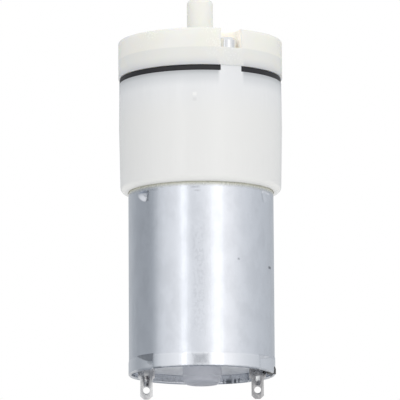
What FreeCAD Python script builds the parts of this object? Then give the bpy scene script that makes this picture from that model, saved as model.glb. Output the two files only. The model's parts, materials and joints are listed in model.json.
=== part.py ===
import FreeCAD, Part
import math
import os

import Sketcher

# A small diaphragm vacuum pump: a round can motor with a two-piece plastic head screwed on its front.
# Its shaft turns a crank, an inclined pin in the crank rocks a three-armed wobble plate, and the plate
# works three rubber cups under a valve plate and the cover with its hose nozzle.
# Millimetres. The origin is on the motor axis in the plane of the can's rear rim, and +Z points to the
# nozzle. Angles are measured from +X, turning towards +Y, and the side with the nearest screw is -Y.

DRIVING_SIZES = {
    # Motor can: a drawn steel cup, open at the rear, with a bearing boss on its front plate
    "can_radius": 12.2,
    "can_wall": 0.5,
    "can_length": 31.72,
    "can_corner": 1.0,
    "flare_rise": 0.08,
    "flare_length": 2.2,
    "flare_blend": 0.3,
    "front_boss_radius": 3.0,
    "front_boss_height": 1.5,
    "stake_depth": 0.35,
    "stake_start": 1.15,
    "stake_height": 1.35,
    "stake_span": 24,
    "stake_spread": 57,
    "stake_middle": -85,
    "dimple_width": 3.4,
    "dimple_height": 2.0,
    "dimple_depth": 0.3,
    "dimple_drop": 2.62,
    "dimple_spread": 59.2,
    "dimple_middle": -82.2,
    "rim_notch_angle": -4,
    "rim_notch_span": 14,
    "rim_notch_depth": 1.1,
    # End cap: the recessed plate at the rear, with the closed rear bearing boss
    "cap_recess": 1.45,
    "cap_plate": 1.0,
    "cap_clearance": 0.06,
    "cap_boss_radius": 3.1,
    "cap_boss_step": 0.15,
    "cap_boss_length": 3.0,
    "cap_boss_skirt": 1.78,
    "cap_boss_face": 0.45,
    "cap_boss_edge": 0.8,
    # Bearings, shaft and the pieces on it
    "bearing_radius": 2.5,
    "bearing_length": 2.2,
    "running_fit": 0.03,
    "shaft_radius": 1.0,
    "rear_bearing_drop": 1.0,
    "end_play": 0.1,
    "thrust_pad_radius": 1.6,
    "thrust_pad_thickness": 0.3,
    "washer_radius": 2.0,
    "washer_thickness": 0.3,
    "spacer_radius": 1.6,
    # Magnets and their spring clip
    "magnet_thickness": 2.75,
    "magnet_gap": 0.05,
    "magnet_span": 128,
    "magnet_start": 5.5,
    "magnet_front_gap": 3.72,
    "clip_thickness": 0.35,
    "clip_leg": 1.6,
    "clip_inset": 1.0,
    "clip_play": 4,
    # Armature: a three-pole laminated core, its insulators, windings and commutator
    "core_start": 9.0,
    "core_front_gap": 9.72,
    "air_gap": 0.5,
    "core_hub": 3.0,
    "pole_width": 2.6,
    "pole_root": 0.3,
    "shoe_thickness": 1.2,
    "shoe_span": 104,
    "insulator_thickness": 0.35,
    "insulator_lip": 0.2,
    "winding_side": 1.7,
    "winding_start": 3.2,
    "winding_margin": 0.3,
    "winding_play": 0.1,
    "winding_end": 1.6,
    "commutator_start": 3.0,
    "commutator_length": 4.0,
    "commutator_radius": 2.8,
    "commutator_lip": 0.1,
    "segment_thickness": 0.5,
    "segment_gap": 6,
    "riser_radius": 3.6,
    "riser_thickness": 0.4,
    "varistor_radius": 4.5,
    "varistor_thickness": 0.8,
    # Terminals, brush carrier, brush arms and brushes
    "tab_inset": 2.4,
    "tab_width": 2.05,
    "tab_thickness": 0.3,
    "tab_reach": 4.0,
    "tab_tip_flat": 0.9,
    "tab_tip_corner": 0.55,
    "eyelet_radius": 0.57,
    "eyelet_rise": 1.52,
    "shoulder_width": 2.8,
    "shoulder_start": 0.3,
    "shoulder_slant": 0.45,
    "tab_neck": 1.6,
    "bead_width": 0.5,
    "bead_depth": 0.07,
    "bead_length": 1.5,
    "slot_clearance": 0.3,
    "carrier_inset": 0.5,
    "carrier_thickness": 1.0,
    "carrier_hole": 3.5,
    "carrier_gap": 0.05,
    "arm_height": 1.3,
    "arm_thickness": 0.15,
    "brush_width": 1.6,
    "brush_length": 1.2,
    "brush_fit": 0.03,
    "post_radius": 0.6,
    "post_inset": 3.0,
    "post_gap": 0.1,
    # Pump housing: the lower plastic piece, with the motor's seat, the crank space and screw pillars
    "skirt_depth": 0.8,
    "skirt_clearance": 0.06,
    "housing_floor": 2.18,
    "housing_height": 18.53,
    "housing_rim": 1.32,
    "housing_low_draft": 0.22,
    "housing_top_draft": 0.07,
    "housing_parting": 10.98,
    "housing_edge": 1.0,
    "housing_wall": 2.52,
    "housing_lip": 1.82,
    "seat_thickness": 3.15,
    "seat_clearance": 0.05,
    "motor_screw_pitch": 8.5,
    "motor_screw_angle": 22.3,
    "motor_screw_radius": 1.25,
    "motor_screw_head": 2.2,
    "motor_screw_head_height": 1.5,
    # Head screws and their pillars
    "screw_angle": -67.7,
    "screw_inset": 2.13,
    "pillar_radius": 1.85,
    "screw_radius": 0.9,
    "screw_depth": 7.0,
    "screw_head_radius": 1.7,
    "screw_head_height": 1.95,
    "screw_head_crown": 0.7,
    "screw_fit": 0.02,
    "screw_play": 0.1,
    "screw_point": 0.5,
    "pillar_inset": 0.5,
    # Crank, pin and wobble plate
    "crank_radius": 3.7,
    "crank_gap": 0.7,
    "crank_length": 5.6,
    "crank_bore_depth": 1.9,
    "crank_edge": 0.5,
    "tilt": 7,
    "wobble_centre": 10.3,
    "pin_radius": 0.75,
    "pin_below": 7.5,
    "pin_above": 0.4,
    "wobble_thickness": 1.6,
    "wobble_hub": 2.4,
    "sleeve_radius": 1.9,
    "sleeve_length": 3.2,
    "wobble_arm_width": 2.4,
    "wobble_arm_end": 1.7,
    "stem_hole": 1.05,
    # Diaphragm, its seat and the valve plate
    "chamber_pitch": 5.9,
    "chamber_offset": 60,
    "flange_inset": 0.07,
    "flange_thickness": 0.95,
    "notch_clearance": 0.1,
    "cup_mouth": 3.0,
    "cup_wall": 0.4,
    "cup_bottom": 2.1,
    "cup_floor": 0.7,
    "cup_foot": 1.47,
    "cup_clearance": 0.35,
    "stem_radius": 0.75,
    "bulb_radius": 1.3,
    "bulb_height": 1.0,
    "stem_gap": 0.28,
    "valve_plate_margin": 0.4,
    "valve_plate_thickness": 1.98,
    "valve_plate_gap": 0.02,
    "inlet_inset": 1.2,
    "inlet_hole": 0.3,
    "inlet_ring": 0.95,
    "umbrella_radius": 1.5,
    "umbrella_thickness": 0.35,
    "umbrella_edge": 0.14,
    "umbrella_stem": 0.42,
    "umbrella_bead": 0.62,
    "umbrella_bead_tip": 0.37,
    "umbrella_bead_height": 0.8,
    "outlet_offset": 2.2,
    "outlet_hole": 0.5,
    "outlet_half_angle": 6,
    "flap_thickness": 0.25,
    "flap_inset": 0.1,
    # Head cover and nozzle
    "cover_overhang": 0.16,
    "cover_height": 6.25,
    "cover_edge": 0.25,
    "cover_recess_clearance": 0.05,
    "plenum_offset": 0.5,
    "plenum_height": 2.6,
    "plenum_wall": 0.7,
    "exhaust_offset": 3.4,
    "exhaust_height": 2.0,
    "seal_width": 0.44,
    "seal_height": 0.5,
    "pocket_floor": 2.98,
    "vent_radius": 0.45,
    "vent_rise": 0.1,
    "vent_span": 5,
    "nozzle_radius": 2.2,
    "nozzle_length": 7.35,
    "nozzle_bore": 1.1,
    "nozzle_tip_radius": 0.75,
    "nozzle_base_radius": 0.4,
}

SCREWS = 3
CHAMBERS = 3
POLES = 3

# How far a cut runs past the material that it cuts
OVERCUT = 1

document = FreeCAD.newDocument("diaphragm_vacuum_pump")
sheet = document.addObject("Spreadsheet::Sheet", "dims")


class Size:
    """A length or an angle that keeps its number together with the sheet formula behind it."""

    def __init__(self, number, formula=None):
        self.number = float(number)
        self.formula = formula or repr(self.number)

    def __add__(self, other):
        return combined(self, "+", other, self.number + number_of(other))

    def __sub__(self, other):
        return combined(self, "-", other, self.number - number_of(other))

    def __mul__(self, other):
        return combined(self, "*", other, self.number * number_of(other))

    def __truediv__(self, other):
        return combined(self, "/", other, self.number / number_of(other))

    def __radd__(self, other):
        return Size(other) + self

    def __rsub__(self, other):
        return Size(other) - self

    def __rmul__(self, other):
        return Size(other) * self

    def __neg__(self):
        return Size(-self.number, f"(0 - {self.formula})")


class Dimensions:
    """The driving sizes by name, each one bound to its own cell of the sheet."""


def as_size(value):
    return value if isinstance(value, Size) else Size(value)


def number_of(value):
    return as_size(value).number


def combined(first, sign, second, number):
    return Size(number, f"({first.formula} {sign} {as_size(second).formula})")


def cosine(angle):
    angle = as_size(angle)
    return Size(math.cos(math.radians(angle.number)), f"cos({angle.formula})")


def sine(angle):
    angle = as_size(angle)
    return Size(math.sin(math.radians(angle.number)), f"sin({angle.formula})")


def tangent(angle):
    angle = as_size(angle)
    return Size(math.tan(math.radians(angle.number)), f"tan({angle.formula})")


def fill_sheet():
    """Write each driving size to a row of the sheet, with its name as the alias of its cell."""
    dimensions = Dimensions()
    for row, (name, number) in enumerate(DRIVING_SIZES.items(), start=1):
        sheet.set(f"A{row}", name)
        sheet.set(f"B{row}", str(number))
        sheet.setAlias(f"B{row}", name)
        setattr(dimensions, name, Size(number, f"dims.{name}"))
    document.recompute()
    return dimensions


dim = fill_sheet()


# Bodies and sketches

def new_body(label, several=False):
    body = document.addObject("PartDesign::Body", label)
    body.Label = label
    body.AllowCompound = several
    return body


def origin_feature(body, role):
    return [feature for feature in body.Origin.OriginFeatures if feature.Role == role][0]


def bind(owner, path, value):
    """Tie a property of an object to the sheet formula of a size."""
    owner.setExpression(path, as_size(value).formula)


def new_sketch(body, name, role, x=0, y=0, z=0):
    """A sketch on one of the body's own origin planes, moved by an offset in that plane's axes."""
    sketch = body.newObject("Sketcher::SketchObject", name)
    sketch.AttachmentSupport = [(origin_feature(body, role), "")]
    sketch.MapMode = "FlatFace"
    offset = FreeCAD.Vector(number_of(x), number_of(y), number_of(z))
    sketch.AttachmentOffset = FreeCAD.Placement(offset, FreeCAD.Rotation())
    for axis, value in (("x", x), ("y", y), ("z", z)):
        if isinstance(value, Size):
            bind(sketch, f"AttachmentOffset.Base.{axis}", value)
    return sketch


def level_sketch(body, name, height=0):
    """A sketch that lies level at a height."""
    return new_sketch(body, name, "XY_Plane", z=height)


def upright_sketch(body, name, x=0, y=0, turn=None):
    """A sketch that stands on an axis through x, y: its own X is radial and its Y is the height."""
    sketch = new_sketch(body, name, "XZ_Plane", x=x, z=-as_size(y))
    if turn is not None:
        turned = FreeCAD.Rotation(FreeCAD.Vector(0, 1, 0), number_of(turn))
        sketch.AttachmentOffset = FreeCAD.Placement(sketch.AttachmentOffset.Base, turned)
        bind(sketch, "AttachmentOffset.Rotation.Angle", turn)
    return sketch


def fix_point(sketch, geometry, end, x, y):
    """Dimension one point of a sketch from the sketch's origin."""
    for direction, axis, value in (("DistanceX", -2, as_size(x)), ("DistanceY", -1, as_size(y))):
        if value.number == 0:
            sketch.addConstraint(Sketcher.Constraint("PointOnObject", geometry, end, axis))
            continue
        measure = Sketcher.Constraint(direction, -1, 1, geometry, end, value.number)
        index = sketch.addConstraint(measure)
        if "dims." in value.formula:
            sketch.setExpression(f"Constraints[{index}]", value.formula)


def arc_between(start, end, radius):
    """The arc from start to end that bends left, or right if its radius is negative."""
    chord = end - start
    to_left = FreeCAD.Vector(-chord.y, chord.x, 0).normalize()
    rise = math.sqrt(radius ** 2 - (chord.Length / 2) ** 2)
    centre = (start + end) * 0.5 + to_left * math.copysign(rise, radius)
    first, last = (start, end) if radius > 0 else (end, start)
    angles = [math.atan2(point.y - centre.y, point.x - centre.x) for point in (first, last)]
    circle = Part.Circle(centre, FreeCAD.Vector(0, 0, 1), abs(radius))
    return Part.ArcOfCircle(circle, *angles)


def draw_outline(sketch, points):
    """A closed outline through the points, each point dimensioned.

    A point may carry a radius as its third value: the outline then runs on to the next point as an arc
    that bends left, or right if the radius is negative.
    """
    corners = [FreeCAD.Vector(number_of(point[0]), number_of(point[1]), 0) for point in points]
    first = sketch.GeometryCount
    count = len(corners)
    ends = []
    for index, point in enumerate(points):
        start, end = corners[index], corners[(index + 1) % count]
        if len(point) == 2:
            sketch.addGeometry(Part.LineSegment(start, end), False)
            ends.append((1, 2))
            continue
        radius = as_size(point[2])
        sketch.addGeometry(arc_between(start, end, radius.number), False)
        ends.append((1, 2) if radius.number > 0 else (2, 1))
        length = radius if radius.number > 0 else -radius
        constraint = sketch.addConstraint(Sketcher.Constraint("Radius", first + index, length.number))
        bind(sketch, f"Constraints[{constraint}]", length)
    for index in range(count):
        following = (index + 1) % count
        sketch.addConstraint(Sketcher.Constraint("Coincident", first + index, ends[index][1],
                                                 first + following, ends[following][0]))
    for index, point in enumerate(points):
        fix_point(sketch, first + index, ends[index][0], point[0], point[1])
    return sketch


def draw_box(sketch, left, right, low, high):
    return draw_outline(sketch, [(left, low), (right, low), (right, high), (left, high)])


def draw_circle(sketch, radius, x=0, y=0):
    centre = FreeCAD.Vector(number_of(x), number_of(y), 0)
    circle = Part.Circle(centre, FreeCAD.Vector(0, 0, 1), number_of(radius))
    geometry = sketch.addGeometry(circle, False)
    index = sketch.addConstraint(Sketcher.Constraint("Radius", geometry, number_of(radius)))
    bind(sketch, f"Constraints[{index}]", radius)
    fix_point(sketch, geometry, 3, x, y)
    return sketch


# Features

def pad(body, name, sketch, length):
    feature = body.newObject("PartDesign::Pad", name)
    feature.Profile = sketch
    bind(feature, "Length", length)
    return feature


def pocket(body, name, sketch, depth):
    """Cut downwards from a level sketch, or towards +Y from an upright one."""
    feature = body.newObject("PartDesign::Pocket", name)
    feature.Profile = sketch
    bind(feature, "Length", depth)
    return feature


def turn_solid(body, name, sketch, kind="Revolution", span=None):
    """Turn a sketch about its own upright axis, all the way or evenly to both sides by a span."""
    feature = body.newObject(f"PartDesign::{kind}", name)
    feature.Profile = sketch
    feature.ReferenceAxis = (sketch, ["V_Axis"])
    feature.Angle = 360
    if span is not None:
        feature.Midplane = True
        bind(feature, "Angle", span)
    return feature


def repeat_around(body, name, features, count):
    """Repeat features around the motor axis."""
    pattern = body.newObject("PartDesign::PolarPattern", name)
    pattern.Originals = features
    pattern.Axis = (origin_feature(body, "Z_Axis"), [""])
    pattern.Angle = 360
    pattern.Occurrences = count
    body.Tip = pattern
    return pattern


def round_edges(body, name, radius, wanted):
    """Round the edges of the body so far for which wanted(edge) is true."""
    document.recompute()
    base = body.Tip
    names = [f"Edge{index}" for index, edge in enumerate(base.Shape.Edges, start=1) if wanted(edge)]
    if not names:
        raise ValueError(f"{body.Label}: {name} finds no edge to round")
    feature = body.newObject("PartDesign::Fillet", name)
    feature.Base = (base, names)
    bind(feature, "Radius", radius)
    return feature


def is_ring(edge, radius, height, closeness=0.01):
    """Whether an edge is a circle or an arc about the motor axis at this radius and height."""
    box = edge.BoundBox
    if box.ZLength > closeness or abs(box.ZMin - number_of(height)) > closeness:
        return False
    if not isinstance(edge.Curve, Part.Circle):
        return False
    on_axis = math.hypot(edge.Curve.Center.x, edge.Curve.Center.y) < closeness
    return on_axis and abs(edge.Curve.Radius - number_of(radius)) < closeness


def ring_solid(label, inner, outer, low, high):
    """A plain ring or disc about the motor axis."""
    body = new_body(label)
    sketch = upright_sketch(body, f"{label}_profile")
    draw_box(sketch, inner, outer, low, high)
    turn_solid(body, f"{label}_turned", sketch)
    return body


# Heights and places that several pieces share

can_inner = dim.can_radius - dim.can_wall
plate_rear = dim.can_length - dim.can_wall
cap_inside = dim.cap_recess + dim.cap_plate
cap_end = dim.cap_recess - dim.cap_boss_length
boss_pocket = cap_end + dim.cap_boss_face
pad_top = boss_pocket + dim.thrust_pad_thickness
rear_bearing_top = cap_inside - dim.rear_bearing_drop
front_bearing_top = dim.can_length + dim.front_boss_height
front_bearing_low = front_bearing_top - dim.bearing_length
housing_bottom = dim.can_length - dim.skirt_depth
floor_top = dim.can_length + dim.housing_floor
housing_top = housing_bottom + dim.housing_height
cover_bottom = housing_top + dim.flange_thickness
cover_top = cover_bottom + dim.cover_height
crank_bottom = floor_top + dim.crank_gap
crank_top = crank_bottom + dim.crank_length
wobble_level = floor_top + dim.wobble_centre
shaft_top = crank_bottom + dim.crank_bore_depth
seat_bottom = housing_top - dim.seat_thickness
core_top = plate_rear - dim.core_front_gap
magnet_top = plate_rear - dim.magnet_front_gap
carrier_bottom = cap_inside + dim.carrier_gap
carrier_top = carrier_bottom + dim.carrier_thickness
valve_plate_bottom = cover_bottom + dim.valve_plate_gap
valve_plate_top = valve_plate_bottom + dim.valve_plate_thickness

# Radii and angles that several pieces share

tab_offset = can_inner - dim.tab_inset
magnet_outer = can_inner - dim.magnet_gap
magnet_inner = magnet_outer - dim.magnet_thickness
core_radius = magnet_inner - dim.air_gap
shoe_inner = core_radius - dim.shoe_thickness
housing_low_radius = dim.can_radius + dim.housing_rim
housing_parting_radius = housing_low_radius + dim.housing_low_draft
housing_top_radius = housing_parting_radius - dim.housing_top_draft
cavity_radius = housing_low_radius - dim.housing_wall
seat_radius = housing_top_radius - dim.housing_lip
flange_radius = housing_top_radius - dim.flange_inset
cover_radius = housing_top_radius + dim.cover_overhang
screw_pitch = cover_radius - dim.screw_inset
inlet_pitch = dim.chamber_pitch - dim.inlet_inset
outlet_pitch = dim.chamber_pitch + dim.outlet_offset
plenum_radius = dim.chamber_pitch + dim.plenum_offset
plenum_outer = plenum_radius + dim.plenum_wall
seal_middle = plenum_radius + dim.plenum_wall / 2
exhaust_outer = dim.chamber_pitch + dim.exhaust_offset
valve_plate_radius = exhaust_outer + dim.valve_plate_margin
chamber_angles = [dim.screw_angle + dim.chamber_offset + 360 / CHAMBERS * turn for turn in range(CHAMBERS)]


def arc_degrees(length, radius):
    """The angle that a length takes up on a circle."""
    return as_size(length) / radius * (180 / math.pi)


def dome_radius(half_width, rise):
    """The radius of a dome that is as wide and as high as this."""
    return (half_width * half_width + rise * rise) / (rise * 2)


pillar_span = arc_degrees(dim.pillar_radius * 2, housing_top_radius)


def around(pitch, angle):
    """The place x, y at a pitch radius and an angle."""
    return pitch * cosine(angle), pitch * sine(angle)


# Motor can

def make_motor_can():
    body = new_body("motor_can")
    flare_end = dim.flare_length + dim.flare_blend
    profile = upright_sketch(body, "can_profile")
    draw_outline(profile, [
        (dim.can_radius + dim.flare_rise, 0),
        (dim.can_radius + dim.flare_rise, dim.flare_length),
        (dim.can_radius, flare_end),
        (dim.can_radius, dim.can_length),
        (dim.front_boss_radius, dim.can_length),
        (dim.front_boss_radius, front_bearing_top),
        (dim.bearing_radius, front_bearing_top),
        (dim.bearing_radius, plate_rear),
        (can_inner, plate_rear),
        (can_inner, flare_end),
        (can_inner + dim.flare_rise, dim.flare_length),
        (can_inner + dim.flare_rise, 0),
    ])
    turn_solid(body, "can_drawn", profile)
    round_edges(body, "can_front_corner", dim.can_corner,
                lambda edge: is_ring(edge, dim.can_radius, dim.can_length))
    round_edges(body, "can_inner_corner", dim.can_corner - dim.can_wall,
                lambda edge: is_ring(edge, can_inner, plate_rear))
    for side, sign in (("left", -1), ("right", 1)):
        add_stakes(body, side, dim.stake_middle + sign * dim.stake_spread)
        add_dimples(body, side, dim.dimple_middle + sign * dim.dimple_spread)
    notch = upright_sketch(body, "rim_notch_profile", turn=dim.rim_notch_angle)
    draw_box(notch, can_inner - OVERCUT, dim.can_radius + OVERCUT, -OVERCUT, dim.rim_notch_depth)
    turn_solid(body, "rim_notch", notch, "Groove", dim.rim_notch_span)
    screws = level_sketch(body, "can_screw_holes_profile", dim.can_length + OVERCUT)
    draw_circle(screws, dim.motor_screw_radius + dim.screw_fit,
                *around(dim.motor_screw_pitch, dim.motor_screw_angle))
    holes = pocket(body, "can_screw_hole", screws, dim.can_wall + OVERCUT * 2)
    repeat_around(body, "can_screw_holes", [holes], 2)
    return body


def add_stakes(body, side, angle):
    """A punched dent that grips the end cap, with the bulge that it makes inside, and its opposite."""
    stake_end = dim.stake_start + dim.stake_height
    bulge = upright_sketch(body, f"stake_bulge_{side}_profile", turn=angle)
    draw_box(bulge, can_inner - dim.stake_depth, can_inner + dim.can_wall / 2, dim.stake_start, stake_end)
    inside = turn_solid(body, f"stake_bulge_{side}", bulge, span=dim.stake_span)
    repeat_around(body, f"stake_bulges_{side}", [inside], 2)
    dent = upright_sketch(body, f"stake_dent_{side}_profile", turn=angle)
    draw_box(dent, dim.can_radius - dim.stake_depth, dim.can_radius + OVERCUT, dim.stake_start, stake_end)
    outside = turn_solid(body, f"stake_dent_{side}", dent, "Groove", dim.stake_span)
    repeat_around(body, f"stake_dents_{side}", [outside], 2)


def add_dimples(body, side, angle):
    """A pressed oval dimple near the front of the can, and its opposite."""
    dimple = body.newObject("PartDesign::SubtractiveEllipsoid", f"dimple_{side}")
    dimple.AttachmentSupport = [(origin_feature(body, "XY_Plane"), "")]
    dimple.MapMode = "FlatFace"
    turned = FreeCAD.Rotation(FreeCAD.Vector(0, 0, 1), angle.number)
    x, y = around(dim.can_radius, angle)
    level = dim.can_length - dim.dimple_drop
    centre = FreeCAD.Vector(x.number, y.number, level.number)
    dimple.AttachmentOffset = FreeCAD.Placement(centre, turned)
    bind(dimple, "AttachmentOffset.Base.x", x)
    bind(dimple, "AttachmentOffset.Base.y", y)
    bind(dimple, "AttachmentOffset.Base.z", level)
    bind(dimple, "AttachmentOffset.Rotation.Angle", angle)
    bind(dimple, "Radius1", dim.dimple_height / 2)
    bind(dimple, "Radius2", dim.dimple_depth)
    bind(dimple, "Radius3", dim.dimple_width / 2)
    repeat_around(body, f"dimples_{side}", [dimple], 2)


# Rear of the motor

def make_end_cap():
    body = new_body("end_cap")
    rim = can_inner - dim.cap_clearance
    wide_boss = dim.cap_boss_radius + dim.cap_boss_step
    boss_inside = dim.bearing_radius
    profile = upright_sketch(body, "cap_profile")
    draw_outline(profile, [
        (0, cap_end),
        (dim.cap_boss_radius, cap_end),
        (dim.cap_boss_radius, dim.cap_recess - dim.cap_boss_skirt),
        (wide_boss, dim.cap_recess - dim.cap_boss_skirt + dim.cap_boss_step),
        (wide_boss, dim.cap_recess),
        (rim, dim.cap_recess),
        (rim, cap_inside),
        (boss_inside, cap_inside),
        (boss_inside, boss_pocket),
        (0, boss_pocket),
    ])
    turn_solid(body, "cap_pressed", profile)
    round_edges(body, "cap_boss_edge", dim.cap_boss_edge,
                lambda edge: is_ring(edge, dim.cap_boss_radius, cap_end))
    for side, sign in (("left", -1), ("right", 1)):
        relief = upright_sketch(body, f"stake_relief_{side}_profile",
                                turn=dim.stake_middle + sign * dim.stake_spread)
        draw_box(relief, can_inner - dim.stake_depth - dim.cap_clearance, dim.can_radius,
                 dim.cap_recess - OVERCUT, cap_inside + OVERCUT)
        cut = turn_solid(body, f"stake_relief_{side}", relief, "Groove", dim.stake_span + 1)
        repeat_around(body, f"stake_reliefs_{side}", [cut], 2)
    half_slot = dim.shoulder_width / 2 + dim.slot_clearance
    half_depth = dim.tab_thickness / 2 + dim.slot_clearance
    slots = level_sketch(body, "terminal_slots_profile", cap_inside + OVERCUT)
    draw_box(slots, tab_offset - half_slot, tab_offset + half_slot, -half_depth, half_depth)
    slot = pocket(body, "terminal_slot", slots, dim.cap_plate + OVERCUT * 2)
    repeat_around(body, "terminal_slots", [slot], 2)
    return body


def make_bearings():
    bore = dim.shaft_radius + dim.running_fit
    ring_solid("rear_bearing", bore, dim.bearing_radius, pad_top, rear_bearing_top)
    ring_solid("front_bearing", bore, dim.bearing_radius, front_bearing_low, front_bearing_top)
    ring_solid("thrust_pad", 0, dim.thrust_pad_radius, boss_pocket, pad_top)


def make_terminal(label, side):
    """A flat solder tab that comes out through the end cap beside the axis."""
    body = new_body(label)
    middle = side * tab_offset
    half_tab = dim.tab_width / 2
    half_shoulder = dim.shoulder_width / 2
    half_neck = dim.tab_neck / 2
    half_tip = dim.tab_tip_flat / 2
    tip = -dim.tab_reach
    shoulder = -dim.shoulder_start
    arm_top = carrier_top + dim.carrier_gap + dim.arm_height
    right_edge = [
        (half_tip, tip),
        (half_tab, tip + dim.tab_tip_corner),
        (half_tab, shoulder - dim.shoulder_slant),
        (half_shoulder, shoulder),
        (half_shoulder, carrier_bottom),
        (half_neck, carrier_bottom),
        (half_neck, arm_top),
    ]
    left_edge = [(-across, height) for across, height in reversed(right_edge)]
    profile = upright_sketch(body, f"{label}_profile", y=-(dim.tab_thickness / 2))
    draw_outline(profile, [(middle + across, height) for across, height in right_edge + left_edge])
    strip = pad(body, f"{label}_blank", profile, dim.tab_thickness)
    strip.Reversed = True
    eyelet = upright_sketch(body, f"{label}_eyelet_profile", y=-dim.tab_thickness)
    draw_circle(eyelet, dim.eyelet_radius, middle, tip + dim.eyelet_rise)
    pocket(body, f"{label}_eyelet", eyelet, dim.tab_thickness * 2)
    bead = upright_sketch(body, f"{label}_bead_profile", y=-(dim.tab_thickness / 2))
    bead_start = tip + dim.eyelet_rise + dim.eyelet_radius + dim.bead_width / 2
    draw_box(bead, middle - dim.bead_width / 2, middle + dim.bead_width / 2,
             bead_start, bead_start + dim.bead_length)
    pocket(body, f"{label}_bead", bead, dim.bead_depth)
    return body


def make_brush_carrier():
    body = new_body("brush_carrier")
    profile = upright_sketch(body, "carrier_profile")
    draw_box(profile, dim.carrier_hole, can_inner - dim.carrier_inset, carrier_bottom, carrier_top)
    turn_solid(body, "carrier_disc", profile)
    half_slot = dim.tab_neck / 2 + dim.cap_clearance
    half_depth = dim.tab_thickness / 2 + dim.cap_clearance
    slots = level_sketch(body, "carrier_slots_profile", carrier_top + OVERCUT)
    draw_box(slots, tab_offset - half_slot, tab_offset + half_slot, -half_depth, half_depth)
    slot = pocket(body, "carrier_slot", slots, dim.carrier_thickness + OVERCUT * 2)
    repeat_around(body, "carrier_slots", [slot], 2)
    posts = level_sketch(body, "carrier_posts_profile", carrier_top)
    leaf_back = dim.commutator_radius + dim.brush_length + dim.arm_thickness
    post_across = leaf_back + dim.post_gap + dim.post_radius
    draw_circle(posts, dim.post_radius, tab_offset - dim.post_inset, post_across)
    post = pad(body, "carrier_post", posts, dim.arm_height)
    repeat_around(body, "carrier_posts", [post], 2)
    return body


def make_brushes():
    """The leaf springs that run from the terminals past the commutator, and the carbon blocks on them."""
    arms = new_body("brush_arms", several=True)
    low = carrier_top + dim.carrier_gap
    leaf = dim.arm_thickness
    reach = dim.commutator_radius + dim.brush_length
    foot = dim.tab_thickness / 2
    half_brush = dim.brush_width / 2
    profile = level_sketch(arms, "arm_profile", low)
    draw_outline(profile, [
        (tab_offset + half_brush, foot),
        (tab_offset - half_brush, foot),
        (tab_offset - reach, reach),
        (-half_brush, reach),
        (-half_brush, reach + leaf),
        (tab_offset - reach + leaf / 2, reach + leaf),
        (tab_offset - half_brush + leaf / 2, foot + leaf),
        (tab_offset + half_brush, foot + leaf),
    ])
    arm = pad(arms, "arm_leaf", profile, dim.arm_height)
    repeat_around(arms, "arm_leaves", [arm], 2)
    brushes = new_body("carbon_brushes", several=True)
    block = level_sketch(brushes, "brush_profile", low)
    draw_box(block, -half_brush, half_brush, dim.commutator_radius / 2, reach)
    blank = pad(brushes, "brush_blank", block, dim.arm_height)
    repeat_around(brushes, "brush_blanks", [blank], 2)
    face = level_sketch(brushes, "brush_face_profile", low + dim.arm_height + OVERCUT)
    draw_circle(face, dim.commutator_radius + dim.brush_fit)
    pocket(brushes, "brush_face", face, dim.arm_height + OVERCUT * 2)


# Inside of the motor

def make_magnets():
    magnets = new_body("magnets", several=True)
    profile = upright_sketch(magnets, "magnet_profile", turn=Size(0))
    draw_box(profile, magnet_inner, magnet_outer, dim.magnet_start, magnet_top)
    arc = turn_solid(magnets, "magnet_arc", profile, span=dim.magnet_span)
    repeat_around(magnets, "magnet_arcs", [arc], 2)
    clip = new_body("magnet_clip")
    clip_span = 180 - dim.magnet_span - dim.clip_play
    low = dim.magnet_start + dim.clip_inset
    high = magnet_top - dim.clip_inset
    bow = upright_sketch(clip, "clip_bow_profile", turn=Size(90))
    draw_box(bow, magnet_outer - dim.clip_thickness, magnet_outer, low, high)
    turn_solid(clip, "clip_bow", bow, span=clip_span)
    leg_span = arc_degrees(dim.clip_thickness, magnet_outer)
    for side, sign in (("left", 1), ("right", -1)):
        leg = upright_sketch(clip, f"clip_leg_{side}_profile", turn=90 + sign * (clip_span - leg_span) / 2)
        draw_box(leg, magnet_outer - dim.clip_leg, magnet_outer, low, high)
        turn_solid(clip, f"clip_leg_{side}", leg, span=leg_span)


def make_shaft():
    ring_solid("motor_shaft", 0, dim.shaft_radius, pad_top, shaft_top)
    hub_top = core_top + dim.insulator_thickness
    spacer_top = front_bearing_low - dim.end_play * 2 - dim.washer_thickness
    ring_solid("shaft_spacer", dim.shaft_radius, dim.spacer_radius, hub_top, spacer_top)
    washers = new_body("thrust_washers", several=True)
    rear = upright_sketch(washers, "rear_washer_profile")
    rear_low = rear_bearing_top + dim.end_play
    draw_box(rear, dim.shaft_radius, dim.washer_radius, rear_low, rear_low + dim.washer_thickness)
    turn_solid(washers, "rear_washer", rear)
    front = upright_sketch(washers, "front_washer_profile")
    draw_box(front, dim.shaft_radius, dim.washer_radius, spacer_top, spacer_top + dim.washer_thickness)
    turn_solid(washers, "front_washer", front)


def make_armature():
    core = new_body("armature_core")
    hub = upright_sketch(core, "core_hub_profile")
    draw_box(hub, dim.shaft_radius, dim.core_hub, dim.core_start, core_top)
    turn_solid(core, "core_hub", hub)
    stem = level_sketch(core, "pole_stem_profile", dim.core_start)
    draw_box(stem, dim.core_hub - dim.pole_root, shoe_inner + dim.shoe_thickness / 2,
             -(dim.pole_width / 2), dim.pole_width / 2)
    pole = pad(core, "pole_stem", stem, core_top - dim.core_start)
    shoe = upright_sketch(core, "pole_shoe_profile", turn=Size(0))
    draw_box(shoe, shoe_inner, core_radius, dim.core_start, core_top)
    face = turn_solid(core, "pole_shoe", shoe, span=dim.shoe_span)
    repeat_around(core, "poles", [pole, face], POLES)


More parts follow.
